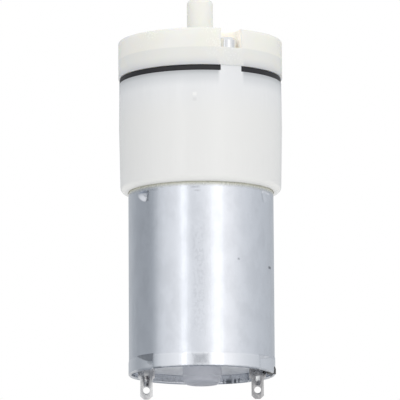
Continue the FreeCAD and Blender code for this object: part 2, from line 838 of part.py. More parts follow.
def make_insulators():
    """The two star-shaped end insulators that keep the wire off the core."""
    body = new_body("armature_insulators", several=True)
    half_arm = dim.pole_width / 2 + dim.insulator_lip
    for end, height in (("rear", dim.core_start - dim.insulator_thickness), ("front", core_top)):
        hub = level_sketch(body, f"insulator_hub_{end}_profile", height)
        draw_circle(hub, dim.core_hub)
        draw_circle(hub, dim.shaft_radius)
        pad(body, f"insulator_hub_{end}", hub, dim.insulator_thickness)
        arm = level_sketch(body, f"insulator_arm_{end}_profile", height)
        draw_box(arm, dim.core_hub - dim.pole_root, shoe_inner + dim.insulator_lip, -half_arm, half_arm)
        star = pad(body, f"insulator_arm_{end}", arm, dim.insulator_thickness)
        repeat_around(body, f"insulator_arms_{end}", [star], POLES)


def make_windings():
    """One coil of copper wire around each pole, as a block with the pole's window through it."""
    body = new_body("armature_coils", several=True)
    outer = shoe_inner - dim.winding_margin
    half_window = dim.pole_width / 2 + dim.insulator_lip + dim.winding_play
    half_coil = half_window + dim.winding_side
    window_low = dim.core_start - dim.insulator_thickness - dim.winding_play
    window_high = core_top + dim.insulator_thickness + dim.winding_play
    block = level_sketch(body, "coil_profile", window_low - dim.winding_end)
    draw_box(block, dim.winding_start, outer, -half_coil, half_coil)
    coil = pad(body, "coil_block", block, window_high - window_low + dim.winding_end * 2)
    window = level_sketch(body, "coil_window_profile", window_high)
    draw_box(window, dim.winding_start - OVERCUT, outer + OVERCUT, -half_window, half_window)
    opening = pocket(body, "coil_window", window, window_high - window_low)
    repeat_around(body, "coils", [coil, opening], POLES)
    trim = upright_sketch(body, "coil_trim_profile")
    past_end = dim.winding_end + OVERCUT
    draw_box(trim, outer, dim.can_radius, window_low - past_end, window_high + past_end)
    turn_solid(body, "coil_trim", trim, "Groove")


def make_commutator():
    hub_radius = dim.commutator_radius - dim.segment_thickness
    top = dim.commutator_start + dim.commutator_length
    shoulder_top = dim.core_start - dim.insulator_thickness
    hub = new_body("commutator_hub")
    profile = upright_sketch(hub, "commutator_hub_profile")
    draw_outline(profile, [
        (dim.shaft_radius, dim.commutator_start - dim.commutator_lip),
        (hub_radius, dim.commutator_start - dim.commutator_lip),
        (hub_radius, top),
        (dim.commutator_radius, top),
        (dim.commutator_radius, shoulder_top),
        (dim.shaft_radius, shoulder_top),
    ])
    turn_solid(hub, "commutator_hub_turned", profile)
    segments = new_body("commutator_segments", several=True)
    bar = upright_sketch(segments, "segment_profile", turn=Size(180 / POLES))
    riser_top = top - dim.commutator_lip
    riser_low = riser_top - dim.riser_thickness
    draw_outline(bar, [
        (hub_radius, dim.commutator_start),
        (dim.commutator_radius, dim.commutator_start),
        (dim.commutator_radius, riser_low),
        (dim.riser_radius, riser_low),
        (dim.riser_radius, riser_top),
        (hub_radius, riser_top),
    ])
    segment = turn_solid(segments, "segment", bar, span=360 / POLES - dim.segment_gap)
    repeat_around(segments, "segments", [segment], POLES)
    ring_solid("varistor_ring", dim.commutator_radius, dim.varistor_radius,
               riser_low - dim.varistor_thickness, riser_low)


# Pump housing and its screws

def make_pump_housing():
    body = new_body("pump_housing")
    parting = housing_bottom + dim.housing_parting
    counterbore = seat_radius + dim.seat_clearance
    profile = upright_sketch(body, "housing_profile")
    draw_outline(profile, [
        (dim.can_radius + dim.skirt_clearance, housing_bottom),
        (housing_low_radius, housing_bottom),
        (housing_parting_radius, parting),
        (housing_top_radius, housing_top),
        (counterbore, housing_top),
        (counterbore, seat_bottom),
        (cavity_radius, seat_bottom),
        (cavity_radius, floor_top),
        (dim.front_boss_radius + dim.skirt_clearance, floor_top),
        (dim.front_boss_radius + dim.skirt_clearance, dim.can_length + dim.skirt_clearance),
        (dim.can_radius + dim.skirt_clearance, dim.can_length + dim.skirt_clearance),
    ])
    turn_solid(body, "housing_moulded", profile)
    round_edges(body, "housing_low_edge", dim.housing_edge,
                lambda edge: is_ring(edge, housing_low_radius, housing_bottom))
    x, y = around(screw_pitch, dim.screw_angle)
    column = level_sketch(body, "pillar_profile", floor_top)
    draw_circle(column, dim.pillar_radius, x, y)
    pillar = pad(body, "pillar", column, cover_bottom - floor_top)
    shell = upright_sketch(body, "pillar_back_profile", turn=dim.screw_angle)
    draw_outline(shell, [
        (screw_pitch, floor_top),
        (housing_low_radius - dim.pillar_inset, floor_top),
        (housing_low_radius - dim.pillar_inset, seat_bottom),
        (housing_top_radius, housing_top),
        (housing_top_radius, cover_bottom),
        (screw_pitch, cover_bottom),
    ])
    back = turn_solid(body, "pillar_back", shell, span=pillar_span)
    repeat_around(body, "pillars", [pillar, back], SCREWS)
    core = level_sketch(body, "pillar_core_profile", cover_bottom + OVERCUT)
    draw_circle(core, dim.screw_radius + dim.screw_fit, x, y)
    hole = pocket(body, "pillar_core", core, dim.screw_depth + OVERCUT * 2)
    repeat_around(body, "pillar_cores", [hole], SCREWS)
    screws = level_sketch(body, "motor_screw_holes_profile", floor_top + OVERCUT)
    draw_circle(screws, dim.motor_screw_radius + dim.screw_play,
                *around(dim.motor_screw_pitch, dim.motor_screw_angle))
    passage = pocket(body, "motor_screw_hole", screws, dim.housing_floor + OVERCUT * 2)
    repeat_around(body, "motor_screw_holes", [passage], 2)
    return body


def make_screws(label, count, x, y, seat, sizes):
    """A ring of pan-head screws, their heads standing on the seat height."""
    body = new_body(label, several=True)
    profile = upright_sketch(body, f"{label}_profile", x=x, y=y)
    head_top = seat + sizes["head_height"]
    draw_outline(profile, [
        (0, seat - sizes["depth"]),
        (sizes["radius"] - dim.screw_point, seat - sizes["depth"]),
        (sizes["radius"], seat - sizes["depth"] + dim.screw_point),
        (sizes["radius"], seat),
        (sizes["head"], seat),
        (sizes["head"], head_top - dim.screw_head_crown, dim.screw_head_crown),
        (sizes["head"] - dim.screw_head_crown, head_top),
        (0, head_top),
    ])
    turned = turn_solid(body, f"{label}_turned", profile)
    repeat_around(body, f"{label}_ring", [turned], count)
    return body


def make_motor_screws():
    x, y = around(dim.motor_screw_pitch, dim.motor_screw_angle)
    sizes = {
        "radius": dim.motor_screw_radius,
        "depth": dim.housing_floor + dim.can_wall + dim.screw_point,
        "head": dim.motor_screw_head,
        "head_height": dim.motor_screw_head_height,
    }
    return make_screws("motor_screws", 2, x, y, floor_top, sizes)


def make_head_screws():
    x, y = around(screw_pitch, dim.screw_angle)
    floor = cover_bottom + dim.pocket_floor
    sizes = {
        "radius": dim.screw_radius,
        "depth": dim.pocket_floor + dim.screw_depth,
        "head": dim.screw_head_radius,
        "head_height": dim.screw_head_height,
    }
    return make_screws("head_screws", SCREWS, x, y, floor, sizes)


# Crank, pin and wobble plate

def tilt_about_centre(body):
    """Stand a piece that is drawn about the wobble centre on the inclined pin axis."""
    centre = FreeCAD.Vector(0, 0, wobble_level.number)
    body.Placement = FreeCAD.Placement(centre, FreeCAD.Rotation(FreeCAD.Vector(0, 1, 0), dim.tilt.number))
    bind(body, "Placement.Base.z", wobble_level)
    bind(body, "Placement.Rotation.Angle", dim.tilt)


def make_crank():
    body = new_body("crank")
    profile = upright_sketch(body, "crank_profile")
    draw_outline(profile, [
        (0, shaft_top),
        (dim.shaft_radius, shaft_top),
        (dim.shaft_radius, crank_bottom),
        (dim.crank_radius, crank_bottom),
        (dim.crank_radius, crank_top - dim.crank_edge * 3),
        (dim.crank_radius - dim.crank_edge * 2, crank_top),
        (0, crank_top),
    ])
    turn_solid(body, "crank_turned", profile)
    hole = body.newObject("PartDesign::SubtractiveCylinder", "pin_hole")
    hole.AttachmentSupport = [(origin_feature(body, "XY_Plane"), "")]
    hole.MapMode = "FlatFace"
    low_x = -(dim.pin_below * sine(dim.tilt))
    low_z = wobble_level - dim.pin_below * cosine(dim.tilt)
    tilted = FreeCAD.Rotation(FreeCAD.Vector(0, 1, 0), dim.tilt.number)
    hole.AttachmentOffset = FreeCAD.Placement(FreeCAD.Vector(low_x.number, 0, low_z.number), tilted)
    bind(hole, "AttachmentOffset.Base.x", low_x)
    bind(hole, "AttachmentOffset.Base.z", low_z)
    bind(hole, "AttachmentOffset.Rotation.Angle", dim.tilt)
    bind(hole, "Radius", dim.pin_radius)
    bind(hole, "Height", dim.pin_below)
    return body


def make_crank_pin():
    body = new_body("crank_pin")
    profile = upright_sketch(body, "pin_profile")
    draw_box(profile, 0, dim.pin_radius, -dim.pin_below, dim.pin_above)
    turn_solid(body, "pin_turned", profile)
    tilt_about_centre(body)
    return body


def make_wobble_plate():
    """The rocking plate: a hub with a long sleeve on the pin, and an arm to each chamber."""
    body = new_body("wobble_plate")
    half = dim.wobble_thickness / 2
    bore = dim.pin_radius + dim.running_fit
    hub = upright_sketch(body, "wobble_hub_profile")
    draw_outline(hub, [
        (bore, -dim.sleeve_length),
        (dim.sleeve_radius, -dim.sleeve_length),
        (dim.sleeve_radius, -half),
        (dim.wobble_hub, -half),
        (dim.wobble_hub, half),
        (0, half),
        (0, dim.pin_above + dim.end_play),
        (bore, dim.pin_above + dim.end_play),
    ])
    turn_solid(body, "wobble_hub", hub)
    outline = level_sketch(body, "wobble_arm_profile", -half)
    angle = chamber_angles[0]
    half_width = dim.wobble_arm_width / 2
    start = dim.sleeve_radius
    corners = [(start, -half_width), (dim.chamber_pitch, -half_width),
               (dim.chamber_pitch, half_width), (start, half_width)]
    turned = [(along * cosine(angle) - across * sine(angle), along * sine(angle) + across * cosine(angle))
              for along, across in corners]
    draw_outline(outline, turned)
    arm = pad(body, "wobble_arm", outline, dim.wobble_thickness)
    x, y = around(dim.chamber_pitch, angle)
    end = level_sketch(body, "wobble_arm_end_profile", -half)
    draw_circle(end, dim.wobble_arm_end, x, y)
    eye = pad(body, "wobble_arm_end", end, dim.wobble_thickness)
    repeat_around(body, "wobble_arms", [arm, eye], CHAMBERS)
    holes = level_sketch(body, "stem_hole_profile", half + OVERCUT)
    draw_circle(holes, dim.stem_hole, x, y)
    stem_hole = pocket(body, "stem_hole", holes, dim.wobble_thickness + OVERCUT * 2)
    repeat_around(body, "stem_holes", [stem_hole], CHAMBERS)
    tilt_about_centre(body)
    return body


# Diaphragm, seat and valves

def make_diaphragm_seat():
    """The plate under the diaphragm, with a round window for each cup."""
    body = new_body("diaphragm_seat")
    profile = upright_sketch(body, "seat_profile")
    draw_box(profile, 0, seat_radius, seat_bottom, housing_top)
    turn_solid(body, "seat_disc", profile)
    window_radius = dim.cup_mouth + dim.cup_wall + dim.cup_clearance
    windows = level_sketch(body, "cup_window_profile", housing_top + OVERCUT)
    draw_circle(windows, window_radius, *around(dim.chamber_pitch, chamber_angles[0]))
    window = pocket(body, "cup_window", windows, dim.seat_thickness + OVERCUT * 2)
    repeat_around(body, "cup_windows", [window], CHAMBERS)
    notches = level_sketch(body, "seat_notch_profile", housing_top + OVERCUT)
    draw_circle(notches, dim.pillar_radius + dim.notch_clearance, *around(screw_pitch, dim.screw_angle))
    notch = pocket(body, "seat_notch", notches, dim.seat_thickness + OVERCUT * 2)
    repeat_around(body, "seat_notches", [notch], SCREWS)
    return body


def make_diaphragm():
    """One rubber moulding: the flange between housing and cover, and a cup with a stem per chamber."""
    body = new_body("diaphragm")
    profile = upright_sketch(body, "flange_profile")
    draw_box(profile, 0, flange_radius, housing_top, cover_bottom)
    turn_solid(body, "flange", profile)
    notches = level_sketch(body, "flange_notch_profile", cover_bottom + OVERCUT)
    draw_circle(notches, dim.pillar_radius + dim.notch_clearance, *around(screw_pitch, dim.screw_angle))
    notch = pocket(body, "flange_notch", notches, dim.flange_thickness + OVERCUT * 2)
    mouth = upright_sketch(body, "flange_gap_profile", turn=dim.screw_angle)
    draw_box(mouth, screw_pitch, flange_radius + OVERCUT, housing_top - OVERCUT, cover_bottom + OVERCUT)
    gap_width = (dim.pillar_radius + dim.notch_clearance) * 2
    gap = turn_solid(body, "flange_gap", mouth, "Groove", arc_degrees(gap_width, housing_top_radius))
    repeat_around(body, "flange_notches", [notch, gap], SCREWS)
    openings = level_sketch(body, "cup_mouth_profile", cover_bottom + OVERCUT)
    draw_circle(openings, dim.cup_mouth, *around(dim.chamber_pitch, chamber_angles[0]))
    opening = pocket(body, "cup_mouth", openings, dim.flange_thickness + OVERCUT * 2)
    repeat_around(body, "cup_mouths", [opening], CHAMBERS)
    for index, angle in enumerate(chamber_angles):
        add_cup(body, index, angle)
    return body


def add_cup(body, index, angle):
    """A cup whose floor stands where the tilted plate holds it, with the stem buttoned through the arm."""
    x, y = around(dim.chamber_pitch, angle)
    arm_level = wobble_level - x * tangent(dim.tilt)
    half_arm = dim.wobble_thickness / 2
    under = arm_level + half_arm + dim.stem_gap
    floor = under + dim.cup_floor
    bulb_top = arm_level - half_arm - dim.stem_gap
    bulb_round = dome_radius(dim.bulb_radius, dim.bulb_height)
    profile = upright_sketch(body, f"cup_{index}_profile", x=x, y=y)
    draw_outline(profile, [
        (0, floor),
        (dim.cup_bottom, floor),
        (dim.cup_mouth, housing_top),
        (dim.cup_mouth, cover_bottom),
        (dim.cup_mouth + dim.cup_wall, cover_bottom),
        (dim.cup_mouth + dim.cup_wall, housing_top),
        (dim.cup_bottom + dim.cup_wall, floor),
        (dim.cup_foot, under),
        (dim.stem_radius, under),
        (dim.stem_radius, bulb_top),
        (dim.bulb_radius, bulb_top, -bulb_round),
        (0, bulb_top - dim.bulb_height),
    ])
    turn_solid(body, f"cup_{index}", profile)


def make_valve_plate():
    body = new_body("valve_plate")
    profile = upright_sketch(body, "valve_plate_profile")
    groove = dim.seal_width / 2
    draw_outline(profile, [
        (0, valve_plate_bottom),
        (valve_plate_radius, valve_plate_bottom),
        (valve_plate_radius, valve_plate_top),
        (seal_middle + groove, valve_plate_top),
        (seal_middle + groove, valve_plate_top - dim.seal_height),
        (seal_middle - groove, valve_plate_top - dim.seal_height),
        (seal_middle - groove, valve_plate_top),
        (0, valve_plate_top),
    ])
    turn_solid(body, "valve_plate_disc", profile)
    angle = chamber_angles[0]
    centre_x, centre_y = around(inlet_pitch, angle)
    inlets = level_sketch(body, "inlet_holes_profile", valve_plate_top + OVERCUT)
    draw_circle(inlets, dim.umbrella_stem, centre_x, centre_y)
    for quarter in range(4):
        step_x, step_y = around(dim.inlet_ring, angle + 45 + 90 * quarter)
        draw_circle(inlets, dim.inlet_hole, centre_x + step_x, centre_y + step_y)
    inlet = pocket(body, "inlet_holes", inlets, dim.valve_plate_thickness + OVERCUT * 2)
    outlets = level_sketch(body, "outlet_holes_profile", valve_plate_top + OVERCUT)
    for sign in (-1, 1):
        draw_circle(outlets, dim.outlet_hole, *around(outlet_pitch, angle + sign * dim.outlet_half_angle))
    outlet = pocket(body, "outlet_holes", outlets, dim.valve_plate_thickness + OVERCUT * 2)
    repeat_around(body, "valve_holes", [inlet, outlet], CHAMBERS)
    return body


def make_valves():
    umbrellas = new_body("inlet_valves", several=True)
    x, y = around(inlet_pitch, chamber_angles[0])
    profile = upright_sketch(umbrellas, "umbrella_profile", x=x, y=y)
    seat = valve_plate_bottom
    dome = dim.umbrella_thickness - dim.umbrella_edge
    dome_round = dome_radius(dim.umbrella_radius, dome)
    draw_outline(profile, [
        (0, seat - dim.umbrella_thickness, dome_round),
        (dim.umbrella_radius, seat - dim.umbrella_edge),
        (dim.umbrella_radius, seat),
        (dim.umbrella_stem, seat),
        (dim.umbrella_stem, valve_plate_top),
        (dim.umbrella_bead, valve_plate_top),
        (dim.umbrella_bead_tip, valve_plate_top + dim.umbrella_bead_height),
        (0, valve_plate_top + dim.umbrella_bead_height),
    ])
    umbrella = turn_solid(umbrellas, "umbrella", profile)
    repeat_around(umbrellas, "umbrellas", [umbrella], CHAMBERS)
    ring_solid("exhaust_flap_ring", plenum_outer + dim.flap_inset, exhaust_outer - dim.flap_inset,
               valve_plate_top, valve_plate_top + dim.flap_thickness)
    ring_solid("plenum_seal", seal_middle - dim.seal_width / 2, seal_middle + dim.seal_width / 2,
               valve_plate_top - dim.seal_height, valve_plate_top)


# Head cover with its nozzle

def make_head_cover():
    body = new_body("head_cover")
    recess = valve_plate_radius + dim.cover_recess_clearance
    nozzle_top = cover_top + dim.nozzle_length
    profile = upright_sketch(body, "cover_profile")
    draw_outline(profile, [
        (recess, cover_bottom),
        (cover_radius, cover_bottom),
        (cover_radius, cover_top),
        (dim.nozzle_radius, cover_top),
        (dim.nozzle_radius, nozzle_top),
        (dim.nozzle_bore, nozzle_top),
        (dim.nozzle_bore, valve_plate_top + dim.plenum_height),
        (plenum_radius, valve_plate_top + dim.plenum_height),
        (plenum_radius, valve_plate_top),
        (plenum_outer, valve_plate_top),
        (plenum_outer, valve_plate_top + dim.exhaust_height),
        (exhaust_outer, valve_plate_top + dim.exhaust_height),
        (exhaust_outer, valve_plate_top),
        (recess, valve_plate_top),
    ])
    turn_solid(body, "cover_moulded", profile)
    round_edges(body, "nozzle_tip", dim.nozzle_tip_radius,
                lambda edge: is_ring(edge, dim.nozzle_radius, nozzle_top))
    round_edges(body, "nozzle_base", dim.nozzle_base_radius,
                lambda edge: is_ring(edge, dim.nozzle_radius, cover_top))
    round_edges(body, "cover_top_edge", dim.cover_edge,
                lambda edge: is_ring(edge, cover_radius, cover_top))
    add_screw_pockets(body)
    return body


def add_screw_pockets(body):
    """A U-shaped pocket from the cover's side to each screw, its clearance hole and a vent into it."""
    angle = dim.screw_angle
    x, y = around(screw_pitch, angle)
    half = dim.pillar_radius
    edge = cover_radius + OVERCUT
    corners = [(screw_pitch, -half), (edge, -half), (edge, half), (screw_pitch, half)]
    outline = [(along * cosine(angle) - across * sine(angle), along * sine(angle) + across * cosine(angle))
               for along, across in corners]
    depth = dim.cover_height - dim.pocket_floor
    slots = level_sketch(body, "pocket_slot_profile", cover_top + OVERCUT)
    draw_outline(slots, outline)
    slot = pocket(body, "pocket_slot", slots, depth + OVERCUT)
    rounds = level_sketch(body, "pocket_round_profile", cover_top + OVERCUT)
    draw_circle(rounds, half, x, y)
    inner_end = pocket(body, "pocket_round", rounds, depth + OVERCUT)
    holes = level_sketch(body, "screw_hole_profile", cover_top + OVERCUT)
    draw_circle(holes, dim.screw_radius + dim.screw_play, x, y)
    hole = pocket(body, "screw_hole", holes, dim.cover_height + OVERCUT * 2)
    vents = upright_sketch(body, "vent_profile", turn=angle)
    vent_level = cover_bottom + dim.pocket_floor + dim.vent_radius + dim.vent_rise
    draw_box(vents, exhaust_outer - dim.vent_radius, screw_pitch - dim.pillar_radius / 2,
             vent_level - dim.vent_radius, vent_level + dim.vent_radius)
    vent = turn_solid(body, "vent", vents, "Groove", dim.vent_span)
    repeat_around(body, "pockets", [slot, inner_end, hole, vent], SCREWS)


# Build everything, check it and write the files

make_motor_can()
make_end_cap()
make_bearings()
make_terminal("terminal_left", -1)
make_terminal("terminal_right", 1)
make_brush_carrier()
make_brushes()
make_magnets()
make_shaft()
make_armature()
make_insulators()
make_windings()
make_commutator()
make_pump_housing()
make_motor_screws()
make_head_screws()
make_crank()
make_crank_pin()
make_wobble_plate()
make_diaphragm_seat()
make_diaphragm()
make_valve_plate()
make_valves()
make_head_cover()
document.recompute()

faults = []
for item in document.Objects:
    if "Invalid" in item.State or "Error" in item.State:
        faults.append(f"{item.Label}: {', '.join(item.State)}")
bodies = [item for item in document.Objects if item.TypeId == "PartDesign::Body"]
for body in bodies:
    if body.Shape.isNull() or not body.Shape.isValid():
        faults.append(f"{body.Label}: shape is empty or not valid")
if faults:
    raise RuntimeError("the model has faults: " + "; ".join(faults))

os.makedirs("parts", exist_ok=True)
for body in bodies:
    body.Shape.exportStep(f"parts/{body.Label}.step")
    print(f"{body.Label}: {len(body.Shape.Solids)} solid(s), {body.Shape.Volume:.2f} mm3")
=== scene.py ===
# %% [markdown]
# A small vacuum pump is a round can motor with a white plastic head screwed on its front. This lesson
# dresses the engineering model of such a pump. The model is loaded first and never moves. Where a part
# of it is too plain for a close look, a finer piece is built in the same place and takes over from it.

# %% Load the frame
import json
import math

import bmesh
import bpy
from mathutils import Matrix, Vector, noise


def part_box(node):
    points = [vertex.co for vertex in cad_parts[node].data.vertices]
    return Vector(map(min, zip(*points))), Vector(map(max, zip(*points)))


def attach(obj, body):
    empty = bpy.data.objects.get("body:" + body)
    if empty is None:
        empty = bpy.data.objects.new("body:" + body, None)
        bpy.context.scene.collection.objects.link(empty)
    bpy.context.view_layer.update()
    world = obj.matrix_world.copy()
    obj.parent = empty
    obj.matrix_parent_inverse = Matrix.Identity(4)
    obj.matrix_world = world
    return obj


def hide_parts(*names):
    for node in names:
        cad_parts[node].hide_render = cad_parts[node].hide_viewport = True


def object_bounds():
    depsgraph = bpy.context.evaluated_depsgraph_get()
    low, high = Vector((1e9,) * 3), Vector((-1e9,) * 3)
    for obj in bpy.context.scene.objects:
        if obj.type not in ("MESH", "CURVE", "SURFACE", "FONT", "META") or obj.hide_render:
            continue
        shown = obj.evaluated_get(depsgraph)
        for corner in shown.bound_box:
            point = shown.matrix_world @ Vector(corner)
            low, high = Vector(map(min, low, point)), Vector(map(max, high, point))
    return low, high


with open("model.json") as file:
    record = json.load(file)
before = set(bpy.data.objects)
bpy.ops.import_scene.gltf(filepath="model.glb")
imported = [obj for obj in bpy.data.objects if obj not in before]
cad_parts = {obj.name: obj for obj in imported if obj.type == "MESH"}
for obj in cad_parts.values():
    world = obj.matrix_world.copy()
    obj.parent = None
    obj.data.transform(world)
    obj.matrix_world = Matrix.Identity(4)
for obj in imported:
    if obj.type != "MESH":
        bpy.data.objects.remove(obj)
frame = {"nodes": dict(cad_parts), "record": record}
cad_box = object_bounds()
nodes = frame["nodes"]
record = frame["record"]
slots = {part["node"]: part["material_slot"] for part in record["subparts"]}
mounts = {mount["name"]: mount for mount in record["mounts"]}
MM = 0.001
print("nodes in the frame:", len(nodes))

# %% [markdown]
# Shader maths reads best as plain arithmetic. A small class wraps a socket, so that 1 - mask or
# grain * 0.2 adds the Math nodes by itself. Every other kind of node comes from one method that takes
# the node's type, its settings, a ramp's stops among them, and the values or links of its sockets.

# %% Shader arithmetic


def arithmetic(operation):
    """A method that combines two values in a Math node."""
    return lambda self, other: self.graph.combine(operation, self, other)


class Signal:
    """A socket of a node tree that takes part in ordinary arithmetic."""

    def __init__(self, graph, socket):
        self.graph = graph
        self.socket = socket

    __add__ = __radd__ = arithmetic("ADD")
    __sub__ = arithmetic("SUBTRACT")
    __mul__ = __rmul__ = arithmetic("MULTIPLY")
    __truediv__ = arithmetic("DIVIDE")
    at_most = arithmetic("MINIMUM")

    def __rsub__(self, other):
        return self.graph.combine("SUBTRACT", other, self)

    def absolute(self):
        return self.graph.combine("ABSOLUTE", self)

    def ramp(self, low, high):
        """Rises smoothly from 0 at low to 1 at high, and falls if low is the larger."""
        settings = {"interpolation_type": "SMOOTHSTEP"}
        if low < high:
            return self.graph.node("ShaderNodeMapRange", settings, {0: self, 1: low, 2: high})
        return 1 - self.graph.node("ShaderNodeMapRange", settings, {0: self, 1: high, 2: low})

    def near(self, middle, reach, core=0.4):
        """1 round the middle value, as far as the core share of the reach, and 0 beyond the reach."""
        return (self - middle).absolute().ramp(reach, reach * core)


class Graph:
    """A node tree: of a material, of the world or of Geometry Nodes."""

    def __init__(self, tree):
        self.tree = tree
        tree.nodes.clear()

    def node(self, kind, settings=None, sockets=None, output=0):
        """Make one node, set its settings, then give its sockets values or links."""
        made = self.tree.nodes.new(kind)
        for name, value in (settings or {}).items():
            if name == "stops":
                fill_ramp(made.color_ramp.elements, value)
            else:
                setattr(made, name, value)
        for key, value in (sockets or {}).items():
            if isinstance(value, Signal):
                self.tree.links.new(value.socket, made.inputs[key])
            else:
                made.inputs[key].default_value = value
        return Signal(self, made.outputs[output]) if made.outputs else made

    def combine(self, operation, *values):
        """A Math node on numbers or links."""
        return self.node("ShaderNodeMath", {"operation": operation}, dict(enumerate(values)))

    def mix(self, factor, first, second):
        """A colour between two colours, which a Mix node takes on inputs 6 and 7 and gives on output 2."""
        sockets = {0: factor, 6: opaque(first), 7: opaque(second)}
        return self.node("ShaderNodeMix", {"data_type": "RGBA"}, sockets, 2)

    def place(self):
        """Object coordinates, which are metres in the frame of the pump."""
        return self.node("ShaderNodeTexCoord", output="Object")

    def stretched(self, scale):
        """Object coordinates with each axis multiplied by its own scale."""
        sockets = {"Vector": self.place(), "Scale": scale}
        return self.node("ShaderNodeMapping", {"vector_type": "POINT"}, sockets)

    def axis(self, name):
        return self.node("ShaderNodeSeparateXYZ", sockets={0: self.place()}, output=name)

    def spot(self, across, half_width, level, half_height):
        """1 in the middle of a spot that is seen from the front, and 0 outside it."""
        return self.axis("X").near(across, half_width) * self.axis("Z").near(level, half_height)

    def front(self):
        """1 on the front half of the pump, and 0 on its back."""
        return self.axis("Y").ramp(0, -MM)

    def noise(self, vector, scale=1.0, detail=3.0, roughness=0.55):
        sockets = {"Vector": vector, "Scale": scale, "Detail": detail, "Roughness": roughness}
        return self.node("ShaderNodeTexNoise", sockets=sockets)

    def bump(self, height, strength, distance):
        sockets = {"Height": height, "Strength": strength, "Distance": distance}
        return self.node("ShaderNodeBump", sockets=sockets)

    def finish(self, **sockets):
        """End the tree in a Principled shader, whose sockets are named in lower case here."""
        named = {}
        for name, value in sockets.items():
            named[name.replace("_", " ").title().replace("Ior", "IOR")] = value
        shader = self.node("ShaderNodeBsdfPrincipled", sockets=named)
        self.node("ShaderNodeOutputMaterial", sockets={"Surface": shader})


def fill_ramp(elements, stops):
    """Give a colour ramp its stops of (position, colour), in rising order."""
    while len(elements) < len(stops):
        elements.new(0.5)
    for index, (position, colour) in enumerate(stops):
        elements[index].position = position
        elements[index].color = colour


def opaque(value):
    """A colour of three numbers as one of four; anything else stays as it is."""
    return (*value, 1.0) if isinstance(value, tuple) and len(value) == 3 else value


def new_graph(name):
    material = bpy.data.materials.new(name)
    material.use_nodes = True
    return material, Graph(material.node_tree)


print("shader helper ready")

# %% [markdown]
# The can is nickel-plated sheet steel, drawn lengthwise. Its fine grain runs along the axis and drags
# every reflection into upright streaks, so the noise behind it is drawn out along Z. Slow noise makes the
# faint waves and finger marks that keep the plating from looking like a mirror. Where the press tool
# sheared or rubbed the sheet, the bare steel is dark. The can's mesh carries that darkness as an
# attribute, worked out beside its dents, and the finish only reads it. The same attribute also carries
# painted shade along the folds of the stakes, beside the dimples and inside the can, a painted dark ring
# under the housing, and faint dark streaks painted as reflections of the studio's dark side. Under the
# housing's edge the plating is also painted a darker olive: painted shade of the joint, warmed as a
# painted reflection of the housing.

# %% Plated steel
CAN_RADIUS = mounts["motor_body"]["dims"]["r_mm"] * MM
HOUSING_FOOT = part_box("pump_housing")[0].z
# Scales of the noise along X, Y and Z
FINE_GRAIN = (7000, 7000, 160)
BROAD_GRAIN = (1700, 1700, 30)
BLOTCHES = (420, 420, 260)
WAVES = (150, 150, 25)
MOTTLE = (2200, 2200, 1800)
# Depth in metres that a bump of 1 stands for
RELIEF = 0.01 * MM
BARE_STEEL_AND_SHADE = (0.10, 0.115, 0.14)
# Under this height the flared rim is a little smoother and painted lighter, a painted reflection of its
# bright band
RIM_BAND_AND_PAINTED_SHEEN = (2.3 * MM, -0.03, (0.84, 0.86, 0.905))
PLATE_BAND = (1.3 * MM, 0.25, (0.78, 0.79, 0.85))
FRONT_PITS = ((11.4 * MM, 17.5 * MM, 0.28 * MM, 0.9), (6.2 * MM, 18.1 * MM, 0.24 * MM, 0.4))
# Painted shade of the joint under the housing, warmed as a painted reflection of the housing
PAINTED_JOINT_SHADE = (HOUSING_FOOT, 0.85 * MM, (0.74, 0.725, 0.57))


def plated_steel(name, tint, roughness, streak=1.0, low_band=None, metallic=1.0, pits=(), joint_shade=None):
    """A low band of (height, change of roughness, tint) tells how the metal differs under that height.
    Each pit of (across, height, size, depth of its tone) is a speck on the front. A joint shade of
    (height, reach, tint) is painted shade with the warm tint of a painted reflection: it darkens and dulls
    the metal above that height and thins out over its reach below it."""
    material, graph = new_graph(name)
    fine = graph.noise(graph.stretched(FINE_GRAIN), detail=2)
    broad = graph.noise(graph.stretched(BROAD_GRAIN), detail=3)
    blotch = graph.noise(graph.stretched(BLOTCHES), detail=5)
    wave = graph.noise(graph.stretched(WAVES), detail=1)
    mottle = graph.noise(graph.stretched(MOTTLE), detail=4)
    worn_and_shaded = graph.node("ShaderNodeAttribute", {"attribute_name": "wear"}, output="Fac")
    grain = fine * 0.35 + broad * 0.65
    # The dark steel colour stands for bare steel and for painted shade alike
    patchy_wear_and_shade = worn_and_shaded + worn_and_shaded.ramp(0.02, 0.09) * (mottle.ramp(0.44, 0.62) - 0.5) * 0.09
    for across, level, size, depth in pits:
        patchy_wear_and_shade = patchy_wear_and_shade + graph.spot(across, size, level, size) * graph.front() * depth
    patchy_wear_and_shade = patchy_wear_and_shade.at_most(1.0)
    gloss = roughness + grain * 0.10 * streak + blotch * 0.06 + patchy_wear_and_shade * 0.2
    darker = tuple(channel * 0.90 for channel in tint)
    base = graph.mix(blotch.ramp(0.38, 0.66) * 0.6, tint, darker)
    if low_band:
        level, rougher, low_tint = low_band
        edge = 0.1 * MM
        below = graph.axis("Z").ramp(level + edge, level - edge)
        gloss = gloss + below * rougher
        base = graph.mix(below * 0.8, base, low_tint)
    dull_share = patchy_wear_and_shade.ramp(0.6, 0.95)
    # Painted shade and a warm painted reflection where the can meets the housing
    if joint_shade:
        level, reach, joint_shade_tint = joint_shade
        joint_shading = graph.axis("Z").ramp(level - reach, level) * 0.85
        base = graph.mix(joint_shading, base, joint_shade_tint)
        dull_share = (dull_share + joint_shading).at_most(1.0)
    graph.finish(
        base_color=graph.mix(patchy_wear_and_shade, base, BARE_STEEL_AND_SHADE),
        metallic=metallic - dull_share,
        roughness=gloss,
        normal=graph.bump(grain * 0.9 + wave * 5.0 + blotch * 1.2, 0.8 * streak, RELIEF),
    )
    return material


